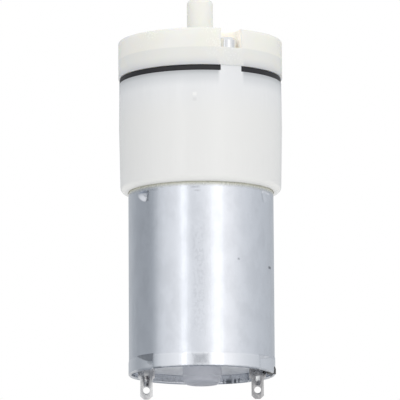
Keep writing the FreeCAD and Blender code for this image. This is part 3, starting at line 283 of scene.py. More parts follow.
# The finish for each material slot of the model
FINISHES = {
    "can_steel": plated_steel("can_plating", (0.775, 0.80, 0.855), 0.15, low_band=RIM_BAND_AND_PAINTED_SHEEN,
                              pits=FRONT_PITS, joint_shade=PAINTED_JOINT_SHADE),
    # The end plate is nearly white and mostly dull: its pale lavender is a painted reflection of bright
    # surroundings
    "cap_steel": plated_steel("cap_plating_painted_reflection", (0.93, 0.95, 0.99), 0.25, 0.3, PLATE_BAND, metallic=0.15),
    "screw_steel": plated_steel("screw_plating", (0.82, 0.83, 0.85), 0.12, 0.4),
    "shaft_steel": plated_steel("ground_shaft", (0.62, 0.63, 0.65), 0.22, 0.3),
    "spring_steel": plated_steel("spring_strip", (0.36, 0.37, 0.42), 0.30, 0.4),
}
print("plated steels:", len(FINISHES))

# %% [markdown]
# The solder tabs are tinned brass strip. Tin is softer than nickel, it takes scratches in every direction,
# and it goes dull in clouds. At the bead pressed above each eyelet, one tab gets painted shade in its
# folds and in a hollow, and the other a painted highlight on a flat with painted shade round it. The
# second tab is darker all over.

# %% Tinned strip
TAB_OFFSET = mounts["terminal_eye_right"]["pos_m"][0]
# Painted shade and a painted highlight at the marks of the press tool: place across, half width, height,
# half height
PAINTED_FOLD_SHADE = (-TAB_OFFSET, 0.8 * MM, -1.05 * MM, 1.3 * MM)
PAINTED_HOLLOW_SHADE = (-TAB_OFFSET + 0.1 * MM, 0.36 * MM, -0.3 * MM, 0.42 * MM)
PAINTED_FLAT_HIGHLIGHT = (TAB_OFFSET + 0.05 * MM, 0.52 * MM, -0.55 * MM, 0.62 * MM)
PAINTED_FLAT_RIM_SHADE = (TAB_OFFSET + 0.05 * MM, 0.85 * MM, -0.55 * MM, 0.9 * MM)


def tinned_strip(name, tint, dull, roughness):
    material, graph = new_graph(name)
    cloud = graph.noise(graph.place(), 1100, 4)
    scratch = graph.noise(graph.stretched((6000, 6000, 700)), detail=2)
    fold = graph.noise(graph.stretched((2300, 400, 260)), detail=2)
    base = graph.mix(cloud.ramp(0.40, 0.66) * 0.7, tint, dull)
    second_tab = graph.axis("X").ramp(-MM, MM)
    base = graph.mix(second_tab * 0.6, base, (0.27, 0.265, 0.27))
    # Painted shade in the folds and the hollow, and a painted highlight on the flat with painted shade
    # round it
    folds = graph.spot(*PAINTED_FOLD_SHADE) * fold.ramp(0.44, 0.56)
    dark = folds * 0.75 + graph.spot(*PAINTED_HOLLOW_SHADE) * 0.8
    base = graph.mix(dark.at_most(1.0), base, (0.07, 0.065, 0.075))
    base = graph.mix(graph.spot(*PAINTED_FLAT_RIM_SHADE) * 0.35, base, (0.12, 0.11, 0.14))
    base = graph.mix(graph.spot(*PAINTED_FLAT_HIGHLIGHT) * 0.9, base, (0.86, 0.87, 0.87))
    graph.finish(
        base_color=base,
        metallic=1.0,
        roughness=roughness + cloud * 0.15,
        normal=graph.bump(scratch + cloud * 2 + fold * 3, 0.5, RELIEF),
    )
    return material


FINISHES["tin_plate"] = tinned_strip("tinned_brass", (0.62, 0.62, 0.625), (0.50, 0.50, 0.51), 0.20)
print("tab offset", round(TAB_OFFSET / MM, 2), "mm")

# %% [markdown]
# Both white mouldings are natural resin with a fine satin skin. A little light goes into such plastic and
# comes out again beside, which softens its shadows, so the cover's shader scatters below the surface. The
# cover is warmer than the housing. Below the floor of the screw pockets it is solid and greyer, and the
# thin walls beside a pocket emit a faint warm painted light, which stands for the light that comes through
# them. The walls near the dark gap of the gasket look shaded, except where a screw pillar backs them. The
# housing yellows towards its lower edge, and its rounded foot, which faces down, is painted lighter as
# painted light. The gate where the resin came in left a small blister, painted lighter as a highlight with
# a painted shadow under it.

# %% White mouldings
SCREW_ANGLE = -67.7
SCREWS = 3
HEAD_SCREW_HEIGHT = 1.95 * MM
FLANGE_THICKNESS = 0.95 * MM
POCKET_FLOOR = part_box("head_screws")[1].z - HEAD_SCREW_HEIGHT
HOUSING_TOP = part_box("diaphragm")[1].z - FLANGE_THICKNESS
cover_low, cover_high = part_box("head_cover")
# Angles off a screw between which the shade of the gap sets in
PILLAR_EDGE = (math.radians(8.0), math.radians(10.5))
# Radii between which a pocket's hollow begins, and ends
POCKET_START = (8 * MM, 8.5 * MM)
POCKET_END = (cover_high.x - 0.15 * MM, cover_high.x - 0.5 * MM)
# Colour of the painted light that the thin pocket walls emit
PAINTED_POCKET_GLOW = (0.19, 0.16, 0.125)
# The gate's blister is painted lighter as a highlight, with a painted shadow just under it
GATE = (-0.95 * MM, 45.4 * MM, 0.45 * MM)


def moulding(name, tint, shade, roughness, scatter, bands=(), shadows=(), gate=None, painted_glow=None):
    """A satin moulding. Each band of (height, softness, colour) tints all that is under its height, or
    over it if the softness is negative. Shadows are bands that leave out the screw pillars. The height
    given for the glowing walls is one above which the thin walls beside the pillars emit a faint painted
    light, standing for light that comes through them."""
    material, graph = new_graph(name)
    cloud = graph.noise(graph.place(), 90, 3)
    skin = graph.noise(graph.place(), 4200, 3)
    base = graph.mix(cloud.ramp(0.35, 0.7), tint, shade)
    height = graph.axis("Z")
    for level, softness, colour_below in bands:
        base = graph.mix(height.ramp(level + softness, level - softness) * 0.85, base, colour_below)
    if shadows:
        bearing = graph.combine("ARCTAN2", graph.axis("Y"), graph.axis("X"))
        off_pillar = graph.combine("PINGPONG", bearing - math.radians(SCREW_ANGLE), math.pi / SCREWS)
        open_wall = off_pillar.ramp(*PILLAR_EDGE)
        for level, softness, colour_below in shadows:
            shadow = height.ramp(level + softness, level - softness) * open_wall
            base = graph.mix(shadow * 0.85, base, colour_below)
    painted_shine = (0.0, 0.0, 0.0)
    # Painted light: the thin walls beside the pillars emit a faint warm light
    if painted_glow:
        x, y = graph.axis("X"), graph.axis("Y")
        radius = graph.combine("SQRT", x * x + y * y)
        recessed = radius.ramp(*POCKET_END) * radius.ramp(*POCKET_START)
        thin_wall = (1 - open_wall) * recessed * height.ramp(painted_glow, painted_glow + 0.2 * MM)
        painted_shine = graph.mix(thin_wall, painted_shine, PAINTED_POCKET_GLOW)
    relief = skin + cloud * 6
    if gate:
        across, level, size = gate
        # The blister is painted lighter as a highlight and gets a painted shadow under it
        blister = graph.spot(across, size, level, size * 0.9) * graph.front()
        under = graph.spot(across, size, level - size * 2, size * 0.9) * graph.front()
        base = graph.mix(under * 0.25, base, (0.62, 0.62, 0.62))
        base = graph.mix(blister * 0.7, base, (0.97, 0.97, 0.96))
        relief = relief + blister * 8
    graph.finish(
        base_color=base,
        roughness=roughness + cloud * 0.08 + skin * 0.05,
        normal=graph.bump(relief, 0.12, RELIEF),
        ior=1.65,
        emission_color=opaque(painted_shine),
        emission_strength=1.0 if painted_glow else 0.0,
        subsurface_weight=scatter,
        subsurface_radius=(1.0, 0.85, 0.6),
        subsurface_scale=1.6 * MM,
    )
    return material


HOUSING_BANDS = (
    (45 * MM, 4 * MM, (0.865, 0.862, 0.845)),
    # Painted light on the rounded foot, which faces down
    (HOUSING_FOOT + 0.6 * MM, 0.45 * MM, (0.98, 0.975, 0.94)),
)
HOUSING_SHADE = (
    (HOUSING_TOP - 1.35 * MM, -1.55 * MM, (0.585, 0.605, 0.625)),
    (HOUSING_TOP - 0.4 * MM, -0.5 * MM, (0.45, 0.46, 0.48)),
)
COVER_BANDS = ((POCKET_FLOOR, 0.15 * MM, (0.85, 0.85, 0.82)),)
COVER_SHADE = (
    (cover_low.z + 0.9 * MM, 0.7 * MM, (0.77, 0.77, 0.765)),
    (cover_low.z + 0.3 * MM, 0.45 * MM, (0.64, 0.64, 0.65)),
)
FINISHES.update({
    "housing_plastic": moulding("housing_moulding", (0.85, 0.86, 0.875), (0.835, 0.845, 0.86), 0.17, 0.0,
                                HOUSING_BANDS, HOUSING_SHADE, GATE),
    "cover_plastic": moulding("cover_moulding", (0.95, 0.935, 0.88), (0.93, 0.91, 0.84), 0.20, 0.5,
                              COVER_BANDS, COVER_SHADE, painted_glow=POCKET_FLOOR),
    "white_plastic": moulding("bearing_plastic", (0.78, 0.78, 0.74), (0.74, 0.74, 0.70), 0.18, 0.1),
    "black_plastic": moulding("black_moulding", (0.035, 0.035, 0.04), (0.05, 0.05, 0.055), 0.36, 0.0),
})
print("pocket floor at", round(POCKET_FLOOR / MM, 2), "mm")

# %% [markdown]
# Rubber is nearly black, dull and very slightly dusty. The other inner pieces are seen only when the
# pump is taken apart, but each still has the finish of its own stuff: pressed ferrite and carbon with
# pores, oiled bronze, enamelled wire, stacked steel sheets.

# %% Rubber and the inner finishes


def dull_solid(name, tint, speck, grain_scale, roughness, metallic=0.0):
    """A dull material with specks of a second colour and a surface as coarse as its grain."""
    material, graph = new_graph(name)
    grain = graph.noise(graph.place(), grain_scale, 4, 0.7)
    cloud = graph.noise(graph.place(), grain_scale / 12, 3)
    graph.finish(
        base_color=graph.mix(grain.ramp(0.45, 0.75) * 0.6 + cloud * 0.2, tint, speck),
        metallic=metallic,
        roughness=roughness + grain * 0.15,
        normal=graph.bump(grain, 0.5, 2 * RELIEF),
    )
    return material


def stacked_sheets(name, tint, gap_tint, pitch, roughness):
    """Metal made of layers along Z: sheets of a core, or turns of wire lying side by side."""
    material, graph = new_graph(name)
    half = pitch / 2
    joint = (graph.combine("PINGPONG", graph.axis("Z"), half) / half).ramp(0.3, 0.02)
    cloud = graph.noise(graph.place(), 700, 3)
    graph.finish(
        base_color=graph.mix(joint, tint, gap_tint),
        metallic=1.0,
        roughness=roughness + cloud * 0.15,
        normal=graph.bump(1 - joint, 0.8, 4 * RELIEF),
    )
    return material


BRONZE, OIL = (0.52, 0.36, 0.16), (0.20, 0.13, 0.06)
ENAMEL, WIRE_GAP = (0.70, 0.30, 0.13), (0.16, 0.05, 0.02)
FINISHES.update({
    "black_rubber": dull_solid("black_rubber", (0.011, 0.010, 0.014), (0.03, 0.03, 0.035), 5200, 0.48),
    "ferrite": dull_solid("pressed_ferrite", (0.055, 0.055, 0.06), (0.11, 0.11, 0.12), 3800, 0.5),
    "core_steel": stacked_sheets("stacked_core", (0.40, 0.41, 0.43), (0.08, 0.07, 0.07), 0.5 * MM, 0.35),
    "sintered_bronze": dull_solid("sintered_bronze", BRONZE, OIL, 6000, 0.3, metallic=1.0),
    "copper": stacked_sheets("enamelled_copper", ENAMEL, WIRE_GAP, 0.24 * MM, 0.18),
    "carbon": dull_solid("pressed_carbon", (0.03, 0.03, 0.03), (0.07, 0.07, 0.07), 7000, 0.55),
    "varistor_ceramic": dull_solid("fired_ceramic", (0.12, 0.13, 0.15), (0.22, 0.23, 0.25), 5000, 0.45),
})


def give_finish(piece, node_name):
    piece.data.materials.clear()
    piece.data.materials.append(FINISHES[slots[node_name]])


for node_name, node_object in nodes.items():
    give_finish(node_object, node_name)
print("finishes:", len(FINISHES))

# %% [markdown]
# Two ways make the finer pieces. A copied piece takes the model's own triangles, welds them, joins
# the ones that lie in one plane and breaks the sharp edges with a bevel, which is how light finds the
# edge of a real moulding. A turned piece is a section swept round the motor axis in many small steps,
# so that dents can be pressed into it point by point.

# %% Building helpers
# Points of the model's triangles are welded within the first distance, those of a turned piece within
# the second, and copied faces are joined if they lean less than the angle
COPY_WELD = 0.002 * MM
TURNED_WELD = 0.0001 * MM
FLAT_ENOUGH = math.radians(0.6)
SHARP_DEGREES = 38


def object_from(name, mesh):
    piece = bpy.data.objects.new(name, mesh)
    bpy.context.collection.objects.link(piece)
    return piece


def shade(mesh, sharp_degrees=SHARP_DEGREES):
    """Smooth shading that stops at edges sharper than an angle."""
    mesh.shade_smooth()
    mesh.set_sharp_from_angle(angle=math.radians(sharp_degrees))


def flatten_modifiers(piece):
    """Turn a piece with modifiers into a plain mesh."""
    evaluated = piece.evaluated_get(bpy.context.evaluated_depsgraph_get())
    finished = bpy.data.meshes.new_from_object(evaluated)
    piece.modifiers.clear()
    piece.data = finished


def welded(places, faces, distance):
    """An editable shape made of faces, with the points that coincide merged."""
    loose = bpy.data.meshes.new("loose")
    loose.from_pydata(places, [], faces)
    work = bmesh.new()
    work.from_mesh(loose)
    bpy.data.meshes.remove(loose)
    bmesh.ops.remove_doubles(work, verts=work.verts, dist=distance)
    return work


def mesh_from(work, name):
    """Write an edited shape into a new mesh."""
    mesh = bpy.data.meshes.new(name)
    work.to_mesh(mesh)
    work.free()
    return mesh


def cut_away(piece, cutter_mesh, solver):
    """Cut the shape of a closed mesh out of a piece."""
    cutter = object_from("cutter", cutter_mesh)
    cut = piece.modifiers.new("cut", "BOOLEAN")
    cut.object = cutter
    cut.solver = solver
    flatten_modifiers(piece)
    bpy.data.objects.remove(cutter)


def take_over(piece, node_name, body="root"):
    """Give a finished piece the finish, the body and the place of the model's node."""
    give_finish(piece, node_name)
    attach(piece, body)
    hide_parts(node_name)
    print(piece.name, "faces:", len(piece.data.polygons))


def copied_piece(name, node_name, width, segments=2, rounded=None):
    """A welded copy of a node with its edges bevelled: all the sharp ones, or those that rounded picks."""
    source = nodes[node_name].data
    places = [vertex.co[:] for vertex in source.vertices]
    work = welded(places, [face.vertices[:] for face in source.polygons], COPY_WELD)
    bmesh.ops.dissolve_limit(work, angle_limit=FLAT_ENOUGH, verts=work.verts, edges=work.edges)
    if rounded:
        edges = [edge for edge in work.edges if len(edge.link_faces) == 2 and rounded(edge)]
        bmesh.ops.bevel(work, geom=edges, offset=width, segments=segments, profile=0.5, affect="EDGES")
    piece = object_from(name, mesh_from(work, name))
    if not rounded:
        bevel = piece.modifiers.new("broken edges", "BEVEL")
        bevel.width = width
        bevel.segments = segments
        bevel.limit_method = "ANGLE"
        bevel.angle_limit = math.radians(SHARP_DEGREES)
        flatten_modifiers(piece)
    shade(piece.data)
    return piece


def turned_mesh(name, section, columns, moved=None):
    """Sweep a closed section of (radius, height) round the axis. Moved takes a point's angle, radius and
    height and gives its new radius and height."""
    vertices = []
    for radius, height in section:
        for column in range(columns):
            angle = 2 * math.pi * column / columns
            reach, level = moved(angle, radius, height) if moved else (radius, height)
            vertices.append((reach * math.cos(angle), reach * math.sin(angle), level))
    faces = []
    rows = len(section)
    for row in range(rows):
        here, above = row * columns, (row + 1) % rows * columns
        for column in range(columns):
            beside = (column + 1) % columns
            faces.append((here + column, here + beside, above + beside, above + column))
    work = welded(vertices, faces, TURNED_WELD)
    bmesh.ops.recalc_face_normals(work, faces=work.faces)
    return mesh_from(work, name)


def round_corner(radius, height, size, steps):
    """The points after the first of a quarter round, at a section's outer upper corner."""
    points = []
    for step in range(1, steps + 1):
        turn = math.radians(90 * step / steps)
        points.append((radius - size * (1 - math.cos(turn)), height - size * (1 - math.sin(turn))))
    return points


print("building helpers ready")

# %% [markdown]
# The can is the biggest bright surface, so its dents have to be real: every reflection bends in them. Four
# stakes near the rim hold the end plate. A chisel folds the sheet in under a sharp line, shallow at one
# end and deep at the other, where the sheet tears bare. Four dimples near the front locate the magnets,
# each a blunt point nearer to one side. At a stake both walls of the sheet move together. At a dimple the
# inner wall follows only a little, so that it stays clear of the magnets. One function says how far the
# sheet is pressed at a place, and another how bare it is and how much shade is painted on it: along the
# fold of each stake, on the steep side of each dimple, inside the can and at a few places listed below.

# %% Dents of the can
BOSS_HEIGHT = 1.5 * MM
CAN_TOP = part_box("motor_can")[1].z - BOSS_HEIGHT
# Angle of each press mark, the side of its deep end and its strength
STAKES = {-142: (1, 1.0), 38: (1, 0.9), -28: (-1, 0.5), 152: (-1, 0.6)}
STAKE_HALF_SPAN = 12
STAKE_DEPTH = 0.50 * MM
STAKE_TOP = 2.5 * MM
STAKE_RETURN = 1.4 * MM
STAKE_FOLD = 0.47
PRESS_REACH = 1.3
DIMPLES = {-143: (1, 1.0), 37: (1, 0.9), -26.5: (-1, 0.45), 153.5: (-1, 0.6)}
DIMPLE_HALF_SPAN = 8.0
DIMPLE_POINT = (0.45, 0.7)
DIMPLE_HEIGHT = CAN_TOP - 2.55 * MM
DIMPLE_HALF_HEIGHT = 0.95 * MM
DIMPLE_DEPTH = 0.78 * MM
DIMPLE_FACET = 1.5
DIMPLE_ZONE = 5 * MM


def smooth_step(value, low, high):
    share = min(max((value - low) / (high - low), 0), 1)
    return share * share * (3 - 2 * share)


def angle_between(degrees, other):
    return (degrees - other + 180) % 360 - 180


def nearest_press(degrees, presses, half_span):
    """How far along a press mark an angle lies, from -1 at its shallow end to 1 at its deep end."""
    for middle, (deep_side, strength) in presses.items():
        along = angle_between(degrees, middle) / half_span * deep_side
        if abs(along) < PRESS_REACH:
            return along, strength
    return None, None


def stake_depth(along, strength):
    """Depth of a stake under its fold, which grows towards the deep end and stops short there."""
    return STAKE_DEPTH * strength * smooth_step(along, -1, 0.5) * (1 - smooth_step(along, 0.66, 0.95))


def dent(degrees, height):
    """How far the sheet is pressed inwards at a place on the can."""
    if height < STAKE_TOP:
        along, strength = nearest_press(degrees, STAKES, STAKE_HALF_SPAN)
        if along is None:
            return 0
        returned = 0.6 + 0.4 * smooth_step(height, 0, STAKE_RETURN)
        return min((STAKE_TOP - height) * STAKE_FOLD, stake_depth(along, strength) * returned)
    if height > CAN_TOP - DIMPLE_ZONE:
        along, strength = nearest_press(degrees, DIMPLES, DIMPLE_HALF_SPAN)
        if along is None:
            return 0
        up = (height - DIMPLE_HEIGHT) / DIMPLE_HALF_HEIGHT
        far = 0
        for value, point in zip((along, up), DIMPLE_POINT):
            far += (abs(value - point) / (1 - point if value > point else 1 + point)) ** DIMPLE_FACET
        return DIMPLE_DEPTH * strength * max(1 - far ** (1 / DIMPLE_FACET), 0)
    return 0


# Scratches, rubs, painted shades: angle, height, half width in degrees, half height, strength, ragged or
# not
RUBS_AND_PAINTED_SHADES = (
    (-130.0, CAN_TOP - 1.70 * MM, 6.5, 0.34 * MM, 0.20, False),
    (-94.5, CAN_TOP - 1.75 * MM, 4.5, 0.22 * MM, 0.26, False),
    (-93.0, CAN_TOP - 2.35 * MM, 3.6, 0.2 * MM, 0.2, False),
    (-84.5, CAN_TOP - 0.95 * MM, 0.8, 0.16 * MM, 0.60, False),
    # Painted shade: a soft dark ring on the plating just under the housing's edge
    (0, CAN_TOP - 1.0 * MM, 400, 0.75 * MM, 0.19, False),
    # Painted reflection: a faint broad darkening on the left of the can, strongest near the top
    (-137, 29 * MM, 18, 26 * MM, 0.05, False),
    (-90.8, 1.2 * MM, 8.6, 1.25 * MM, 0.44, False),
    # Painted reflection: a faint dark upright stripe down the front, between the stripes of the soft boxes
    (-92.0, 15 * MM, 7.5, 16 * MM, 0.07, False),
    (0, 0.0, 400, 0.2 * MM, 0.5, False),
    (-127.3, 0.0, 7.0, 0.25 * MM, 0.75, False),
    (66, 0.05 * MM, 14, 1.1 * MM, 1.0, True),
)
# Painted shade inside the can: full within the first span from this bearing, light past the second
DARK_INSIDE_BEARING = 5
DARK_INSIDE_SPANS = (6, 11)
DARK_FOLD_EDGE = 0.1 * MM


def ragged(degrees):
    """Uneven strength along a torn edge, from 0 to 1."""
    uneven = noise.noise(Vector((degrees * 0.55, 0.5, 0.5)))
    return 0.3 + 0.7 * smooth_step(uneven, -0.3, 0.0)


def wear(degrees, height, inside):
    """How bare and dark the plating is at a place on the can, from 0 to 1, painted shade included."""
    worn_and_shaded = 0
    # Painted shade on all that lies nearer the axis than the outer wall
    if inside:
        off = abs(angle_between(degrees, DARK_INSIDE_BEARING))
        worn_and_shaded = 0.3 + 0.7 * (1 - smooth_step(off, *DARK_INSIDE_SPANS))
    for middle, level, half_span, half_height, strength, torn in RUBS_AND_PAINTED_SHADES:
        far = max(abs(angle_between(degrees, middle)) / half_span, abs(height - level) / half_height)
        share = strength * (1 - smooth_step(far, 0.35, 1.0))
        worn_and_shaded = max(worn_and_shaded, share * ragged(degrees) if torn else share)
    # Along the fold of a stake: bare steel where the sheet tore, and painted shade of the fold
    along, strength = nearest_press(degrees, STAKES, STAKE_HALF_SPAN)
    if along is not None and height < STAKE_TOP + DARK_FOLD_EDGE:
        bare = (strength - 0.35) * 1.4
        fold = STAKE_TOP - stake_depth(along, strength) / STAKE_FOLD - DARK_FOLD_EDGE
        on_fold = smooth_step(height, fold - DARK_FOLD_EDGE, fold + DARK_FOLD_EDGE)
        on_fold *= smooth_step(along, -1, -0.5) * (1 - smooth_step(along, 0.8, 0.95))
        worn_and_shaded = max(worn_and_shaded, on_fold * bare * 0.75)
    # Painted shade on the steep side of a dimple, past its point
    along, strength = nearest_press(degrees, DIMPLES, DIMPLE_HALF_SPAN)
    if along is not None and abs(height - DIMPLE_HEIGHT) < DIMPLE_HALF_HEIGHT:
        beyond = smooth_step(along, DIMPLE_POINT[0], DIMPLE_POINT[0] + 0.1)
        beyond *= 1 - smooth_step(along, 0.85, 1)
        worn_and_shaded = max(worn_and_shaded, 0.5 * strength * strength * beyond)
    return worn_and_shaded


print("stakes:", len(STAKES), "dimples:", len(DIMPLES), "rubbed places:", len(RUBS_AND_PAINTED_SHADES))

# %% [markdown]
# The section of the can is a closed loop: up the outer wall, round the corner, in along the front
# plate, round the bearing boss and back down inside. Its rows are close together where the dents
# are and far apart elsewhere. A notch in the rim only lifts the lowest rows.

# %% Can shell
CAN_WALL = 0.5 * MM
CAN_CORNER = 1.0 * MM
CORNER_STEPS = 8
RIM_ROUND = 0.12 * MM
# Levels between which the rows of the wall lie evenly, and the number of rows from each to the next
WALL_LEVELS = (RIM_ROUND, 0.9 * MM, 3.2 * MM, 27.4 * MM, CAN_TOP - CAN_CORNER)
WALL_ROWS = (3, 24, 12, 34)
FLARE = 0.08 * MM
FLARE_TOP = 2.0 * MM
FLARE_BLEND = 0.6 * MM
BOSS_RADIUS = 3.0 * MM
BEARING_RADIUS = 2.5 * MM
NOTCH_ANGLE = -4
NOTCH_HALF_SPAN = 7
NOTCH_EDGE = 0.4
NOTCH_DEPTH = 1.25 * MM
NOTCH_REACH = 4.0 * MM
FRONT_SCREW_PITCH = 8.5 * MM
FRONT_SCREW_ANGLE = 22.3
FRONT_SCREW_HOLE = 1.27 * MM
CAN_COLUMNS = 480
# Share of a dimple's depth that the inner wall takes
INNER_SHARE = 0.2


def wall_heights():
    """Heights of the rows of the wall: fine by the rim and by the dimples, coarse between them."""
    heights = []
    for low, high, rows in zip(WALL_LEVELS, WALL_LEVELS[1:], WALL_ROWS):
        heights += [low + (high - low) * row / rows for row in range(rows)]
    return heights + [WALL_LEVELS[-1]]


def flare_at(height):
    return FLARE * (1 - smooth_step(height, FLARE_TOP, FLARE_TOP + FLARE_BLEND))


def can_section():
    outer = [(CAN_RADIUS + flare_at(height), height) for height in wall_heights()]
    corner = round_corner(CAN_RADIUS, CAN_TOP, CAN_CORNER, CORNER_STEPS)
    boss_top = CAN_TOP + BOSS_HEIGHT
    front = [(BOSS_RADIUS, CAN_TOP), (BOSS_RADIUS, boss_top), (BEARING_RADIUS, boss_top),
             (BEARING_RADIUS, CAN_TOP - CAN_WALL)]
    inner_corner = [(CAN_RADIUS - CAN_CORNER, CAN_TOP - CAN_WALL)]
    inner = [(radius - CAN_WALL, height) for radius, height in reversed(outer)]
    rim = [(CAN_RADIUS + FLARE - CAN_WALL + RIM_ROUND, 0), (CAN_RADIUS + FLARE - RIM_ROUND, 0)]
    return outer + corner + front + inner_corner + inner + rim


def pressed(angle, radius, height):
    """A point of the can after pressing: dents move it inwards and the rim notch lifts it."""
    if radius < CAN_RADIUS - CAN_WALL * 1.5:
        return radius, height
    off = abs(angle_between(math.degrees(angle), NOTCH_ANGLE))
    in_notch = 1 - smooth_step(off, NOTCH_HALF_SPAN - NOTCH_EDGE, NOTCH_HALF_SPAN + NOTCH_EDGE)
    share = max(1 - height / NOTCH_REACH, 0)
    press = dent(math.degrees(angle), height)
    if height > STAKE_TOP and radius < CAN_RADIUS - CAN_WALL / 2:
        press *= INNER_SHARE
    return radius - press, height + NOTCH_DEPTH * in_notch * share


can_mesh = turned_mesh("can_shell", can_section(), CAN_COLUMNS, pressed)
worn_and_shaded = can_mesh.attributes.new("wear", "FLOAT", "POINT")
for index, vertex in enumerate(can_mesh.vertices):
    place = vertex.co
    inside = math.hypot(place.x, place.y) < CAN_RADIUS - CAN_WALL * 0.7
    worn_and_shaded.data[index].value = wear(math.degrees(math.atan2(place.y, place.x)), place.z, inside)
can_shell = object_from("can_shell", can_mesh)
drill = bmesh.new()
for turn in (0, 180):
    bearing = math.radians(FRONT_SCREW_ANGLE + turn)
    spot = (FRONT_SCREW_PITCH * math.cos(bearing), FRONT_SCREW_PITCH * math.sin(bearing), CAN_TOP)
    bmesh.ops.create_cone(drill, cap_ends=True, segments=32, radius1=FRONT_SCREW_HOLE,
                          radius2=FRONT_SCREW_HOLE, depth=4 * MM, matrix=Matrix.Translation(spot))
cut_away(can_shell, mesh_from(drill, "front_screw_drill"), "FAST")
shade(can_shell.data, 50)
take_over(can_shell, "motor_can")

# %% [markdown]
# The end plate, the tabs and the two mouldings have the right shapes already. They need only the
# tiny radius that a press tool or a mould leaves on every edge.

# %% End plate, tabs and mouldings
# For each finer piece, the node that it copies and the width of its broken edges
BROKEN_EDGES = {
    "end_plate": ("end_cap", 0.08 * MM),
    "solder_tab_left": ("terminal_left", 0.05 * MM),
    "solder_tab_right": ("terminal_right", 0.05 * MM),
    "housing_shell": ("pump_housing", 0.10 * MM),
    "cover_shell": ("head_cover", 0.12 * MM),
}
for piece_name, (node_name, width) in BROKEN_EDGES.items():
    take_over(copied_piece(piece_name, node_name, width), node_name)

# %% [markdown]
# A tongue of the end plate is bent down and out through the notch of the rim, which keeps the plate from
# turning. It stands a little proud of the can. It is sheared steel, finished near black as painted shade
# of the notch.

# %% Tongue in the notch
TONGUE_REACH = 1.5 * MM
TONGUE_WIDTH = 2.4 * MM
TONGUE_FOOT = 0.14 * MM
TONGUE_TOP = 1.15 * MM
TONGUE_PROUD = 0.06 * MM
TONGUE_RISE = 0.25 * MM
TONGUE_EDGE = 0.08 * MM
tongue_end = CAN_RADIUS + FLARE + TONGUE_PROUD
middle = Vector((tongue_end - TONGUE_REACH / 2, 0, (TONGUE_FOOT + TONGUE_TOP) / 2))
size = Matrix.Diagonal((TONGUE_REACH, TONGUE_WIDTH, TONGUE_TOP - TONGUE_FOOT, 1))
turn = Matrix.Rotation(math.radians(NOTCH_ANGLE), 3, "Z")
tongue = bmesh.new()
bmesh.ops.create_cube(tongue, size=1, matrix=Matrix.Translation(middle) @ size)
for vertex in tongue.verts:
    if vertex.co.x < middle.x and vertex.co.z > middle.z:
        vertex.co.z += TONGUE_RISE
bmesh.ops.bevel(tongue, geom=tongue.edges[:], offset=TONGUE_EDGE, segments=2, profile=0.5, affect="EDGES")
bmesh.ops.rotate(tongue, verts=tongue.verts, matrix=turn)
tongue_mesh = mesh_from(tongue, "plate_tongue")
shade(tongue_mesh, 30)
# Near black: painted shade of the notch
painted_notch_shade = dull_solid("painted_notch_shade", (0.045, 0.043, 0.040), (0.10, 0.095, 0.09), 3000, 0.45)
tongue_mesh.materials.append(painted_notch_shade)
plate_tongue = object_from("plate_tongue", tongue_mesh)
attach(plate_tongue, "root")
print("tongue reaches", round(tongue_end / MM, 2), "mm")

# %% [markdown]
# Five pan-head screws hold the pump together: two between motor and housing, three in the pockets of
# the cover. Each screw is one turned solid whose shank is waved into a thread, with a cross cut into
# its crown. The thread runs out a little under the head.

# %% One screw
THREAD_PITCH = 0.8 * MM
THREAD_DEPTH = 0.16 * MM
THREAD_ROW = 0.1 * MM
PLAIN_SHANK = 0.25 * MM
POINT = 0.5 * MM
CROWN = 0.7 * MM
CROWN_STEPS = 6
CROSS_WIDTH = 0.45 * MM
CROSS_SPAN = 1.9 * MM
CROSS_DEPTH = 0.9 * MM


def threaded_screw(name, seat, shank, depth, head, head_height):
    """A pan-head screw on the axis, its head standing on the seat height."""
    top = seat + head_height
    tip = seat - depth
    threaded = depth - POINT
    rows = [(0, tip), (shank - POINT, tip), (shank, tip + POINT)]
    steps = int(threaded / THREAD_ROW)
    rows += [(shank, tip + POINT + threaded * step / steps) for step in range(1, steps)]
    rows += [(shank, seat), (head, seat), (head, top - CROWN)]
    rows += round_corner(head, top, CROWN, CROWN_STEPS)
    rows.append((0, top))

    def thread(angle, radius, height):
        if abs(radius - shank) > 0.001 * MM or height > seat - PLAIN_SHANK:
            return radius, height
        turns = (height / THREAD_PITCH - angle / (2 * math.pi)) % 1
        return radius - THREAD_DEPTH * (1 - abs(turns * 2 - 1)), height

    screw = object_from(name, turned_mesh(name, rows, 40, thread))
    for across, along in ((CROSS_WIDTH, CROSS_SPAN), (CROSS_SPAN, CROSS_WIDTH)):
        size = Matrix.Diagonal((across, along, 2 * CROSS_DEPTH, 1))
        bar = bmesh.new()
        bmesh.ops.create_cube(bar, size=1, matrix=Matrix.Translation((0, 0, top)) @ size)
        cut_away(screw, mesh_from(bar, "cross_bar"), "EXACT")
    shade(screw.data, 35)
    return screw


print("cross recess", round(CROSS_SPAN / MM, 2), "mm across")

# %% [markdown]
# The ring of copies is what Geometry Nodes are best at: points are spread round the axis, each gets
# the screw with its own turn, and the count, the ring and the first angle stay adjustable. The same
# tree serves the cups of the diaphragm further down, on the axis of the wobble plate. The copies are
# made real at the end of the tree, so that the pump keeps them as one plain mesh.

# %% Ring of copies


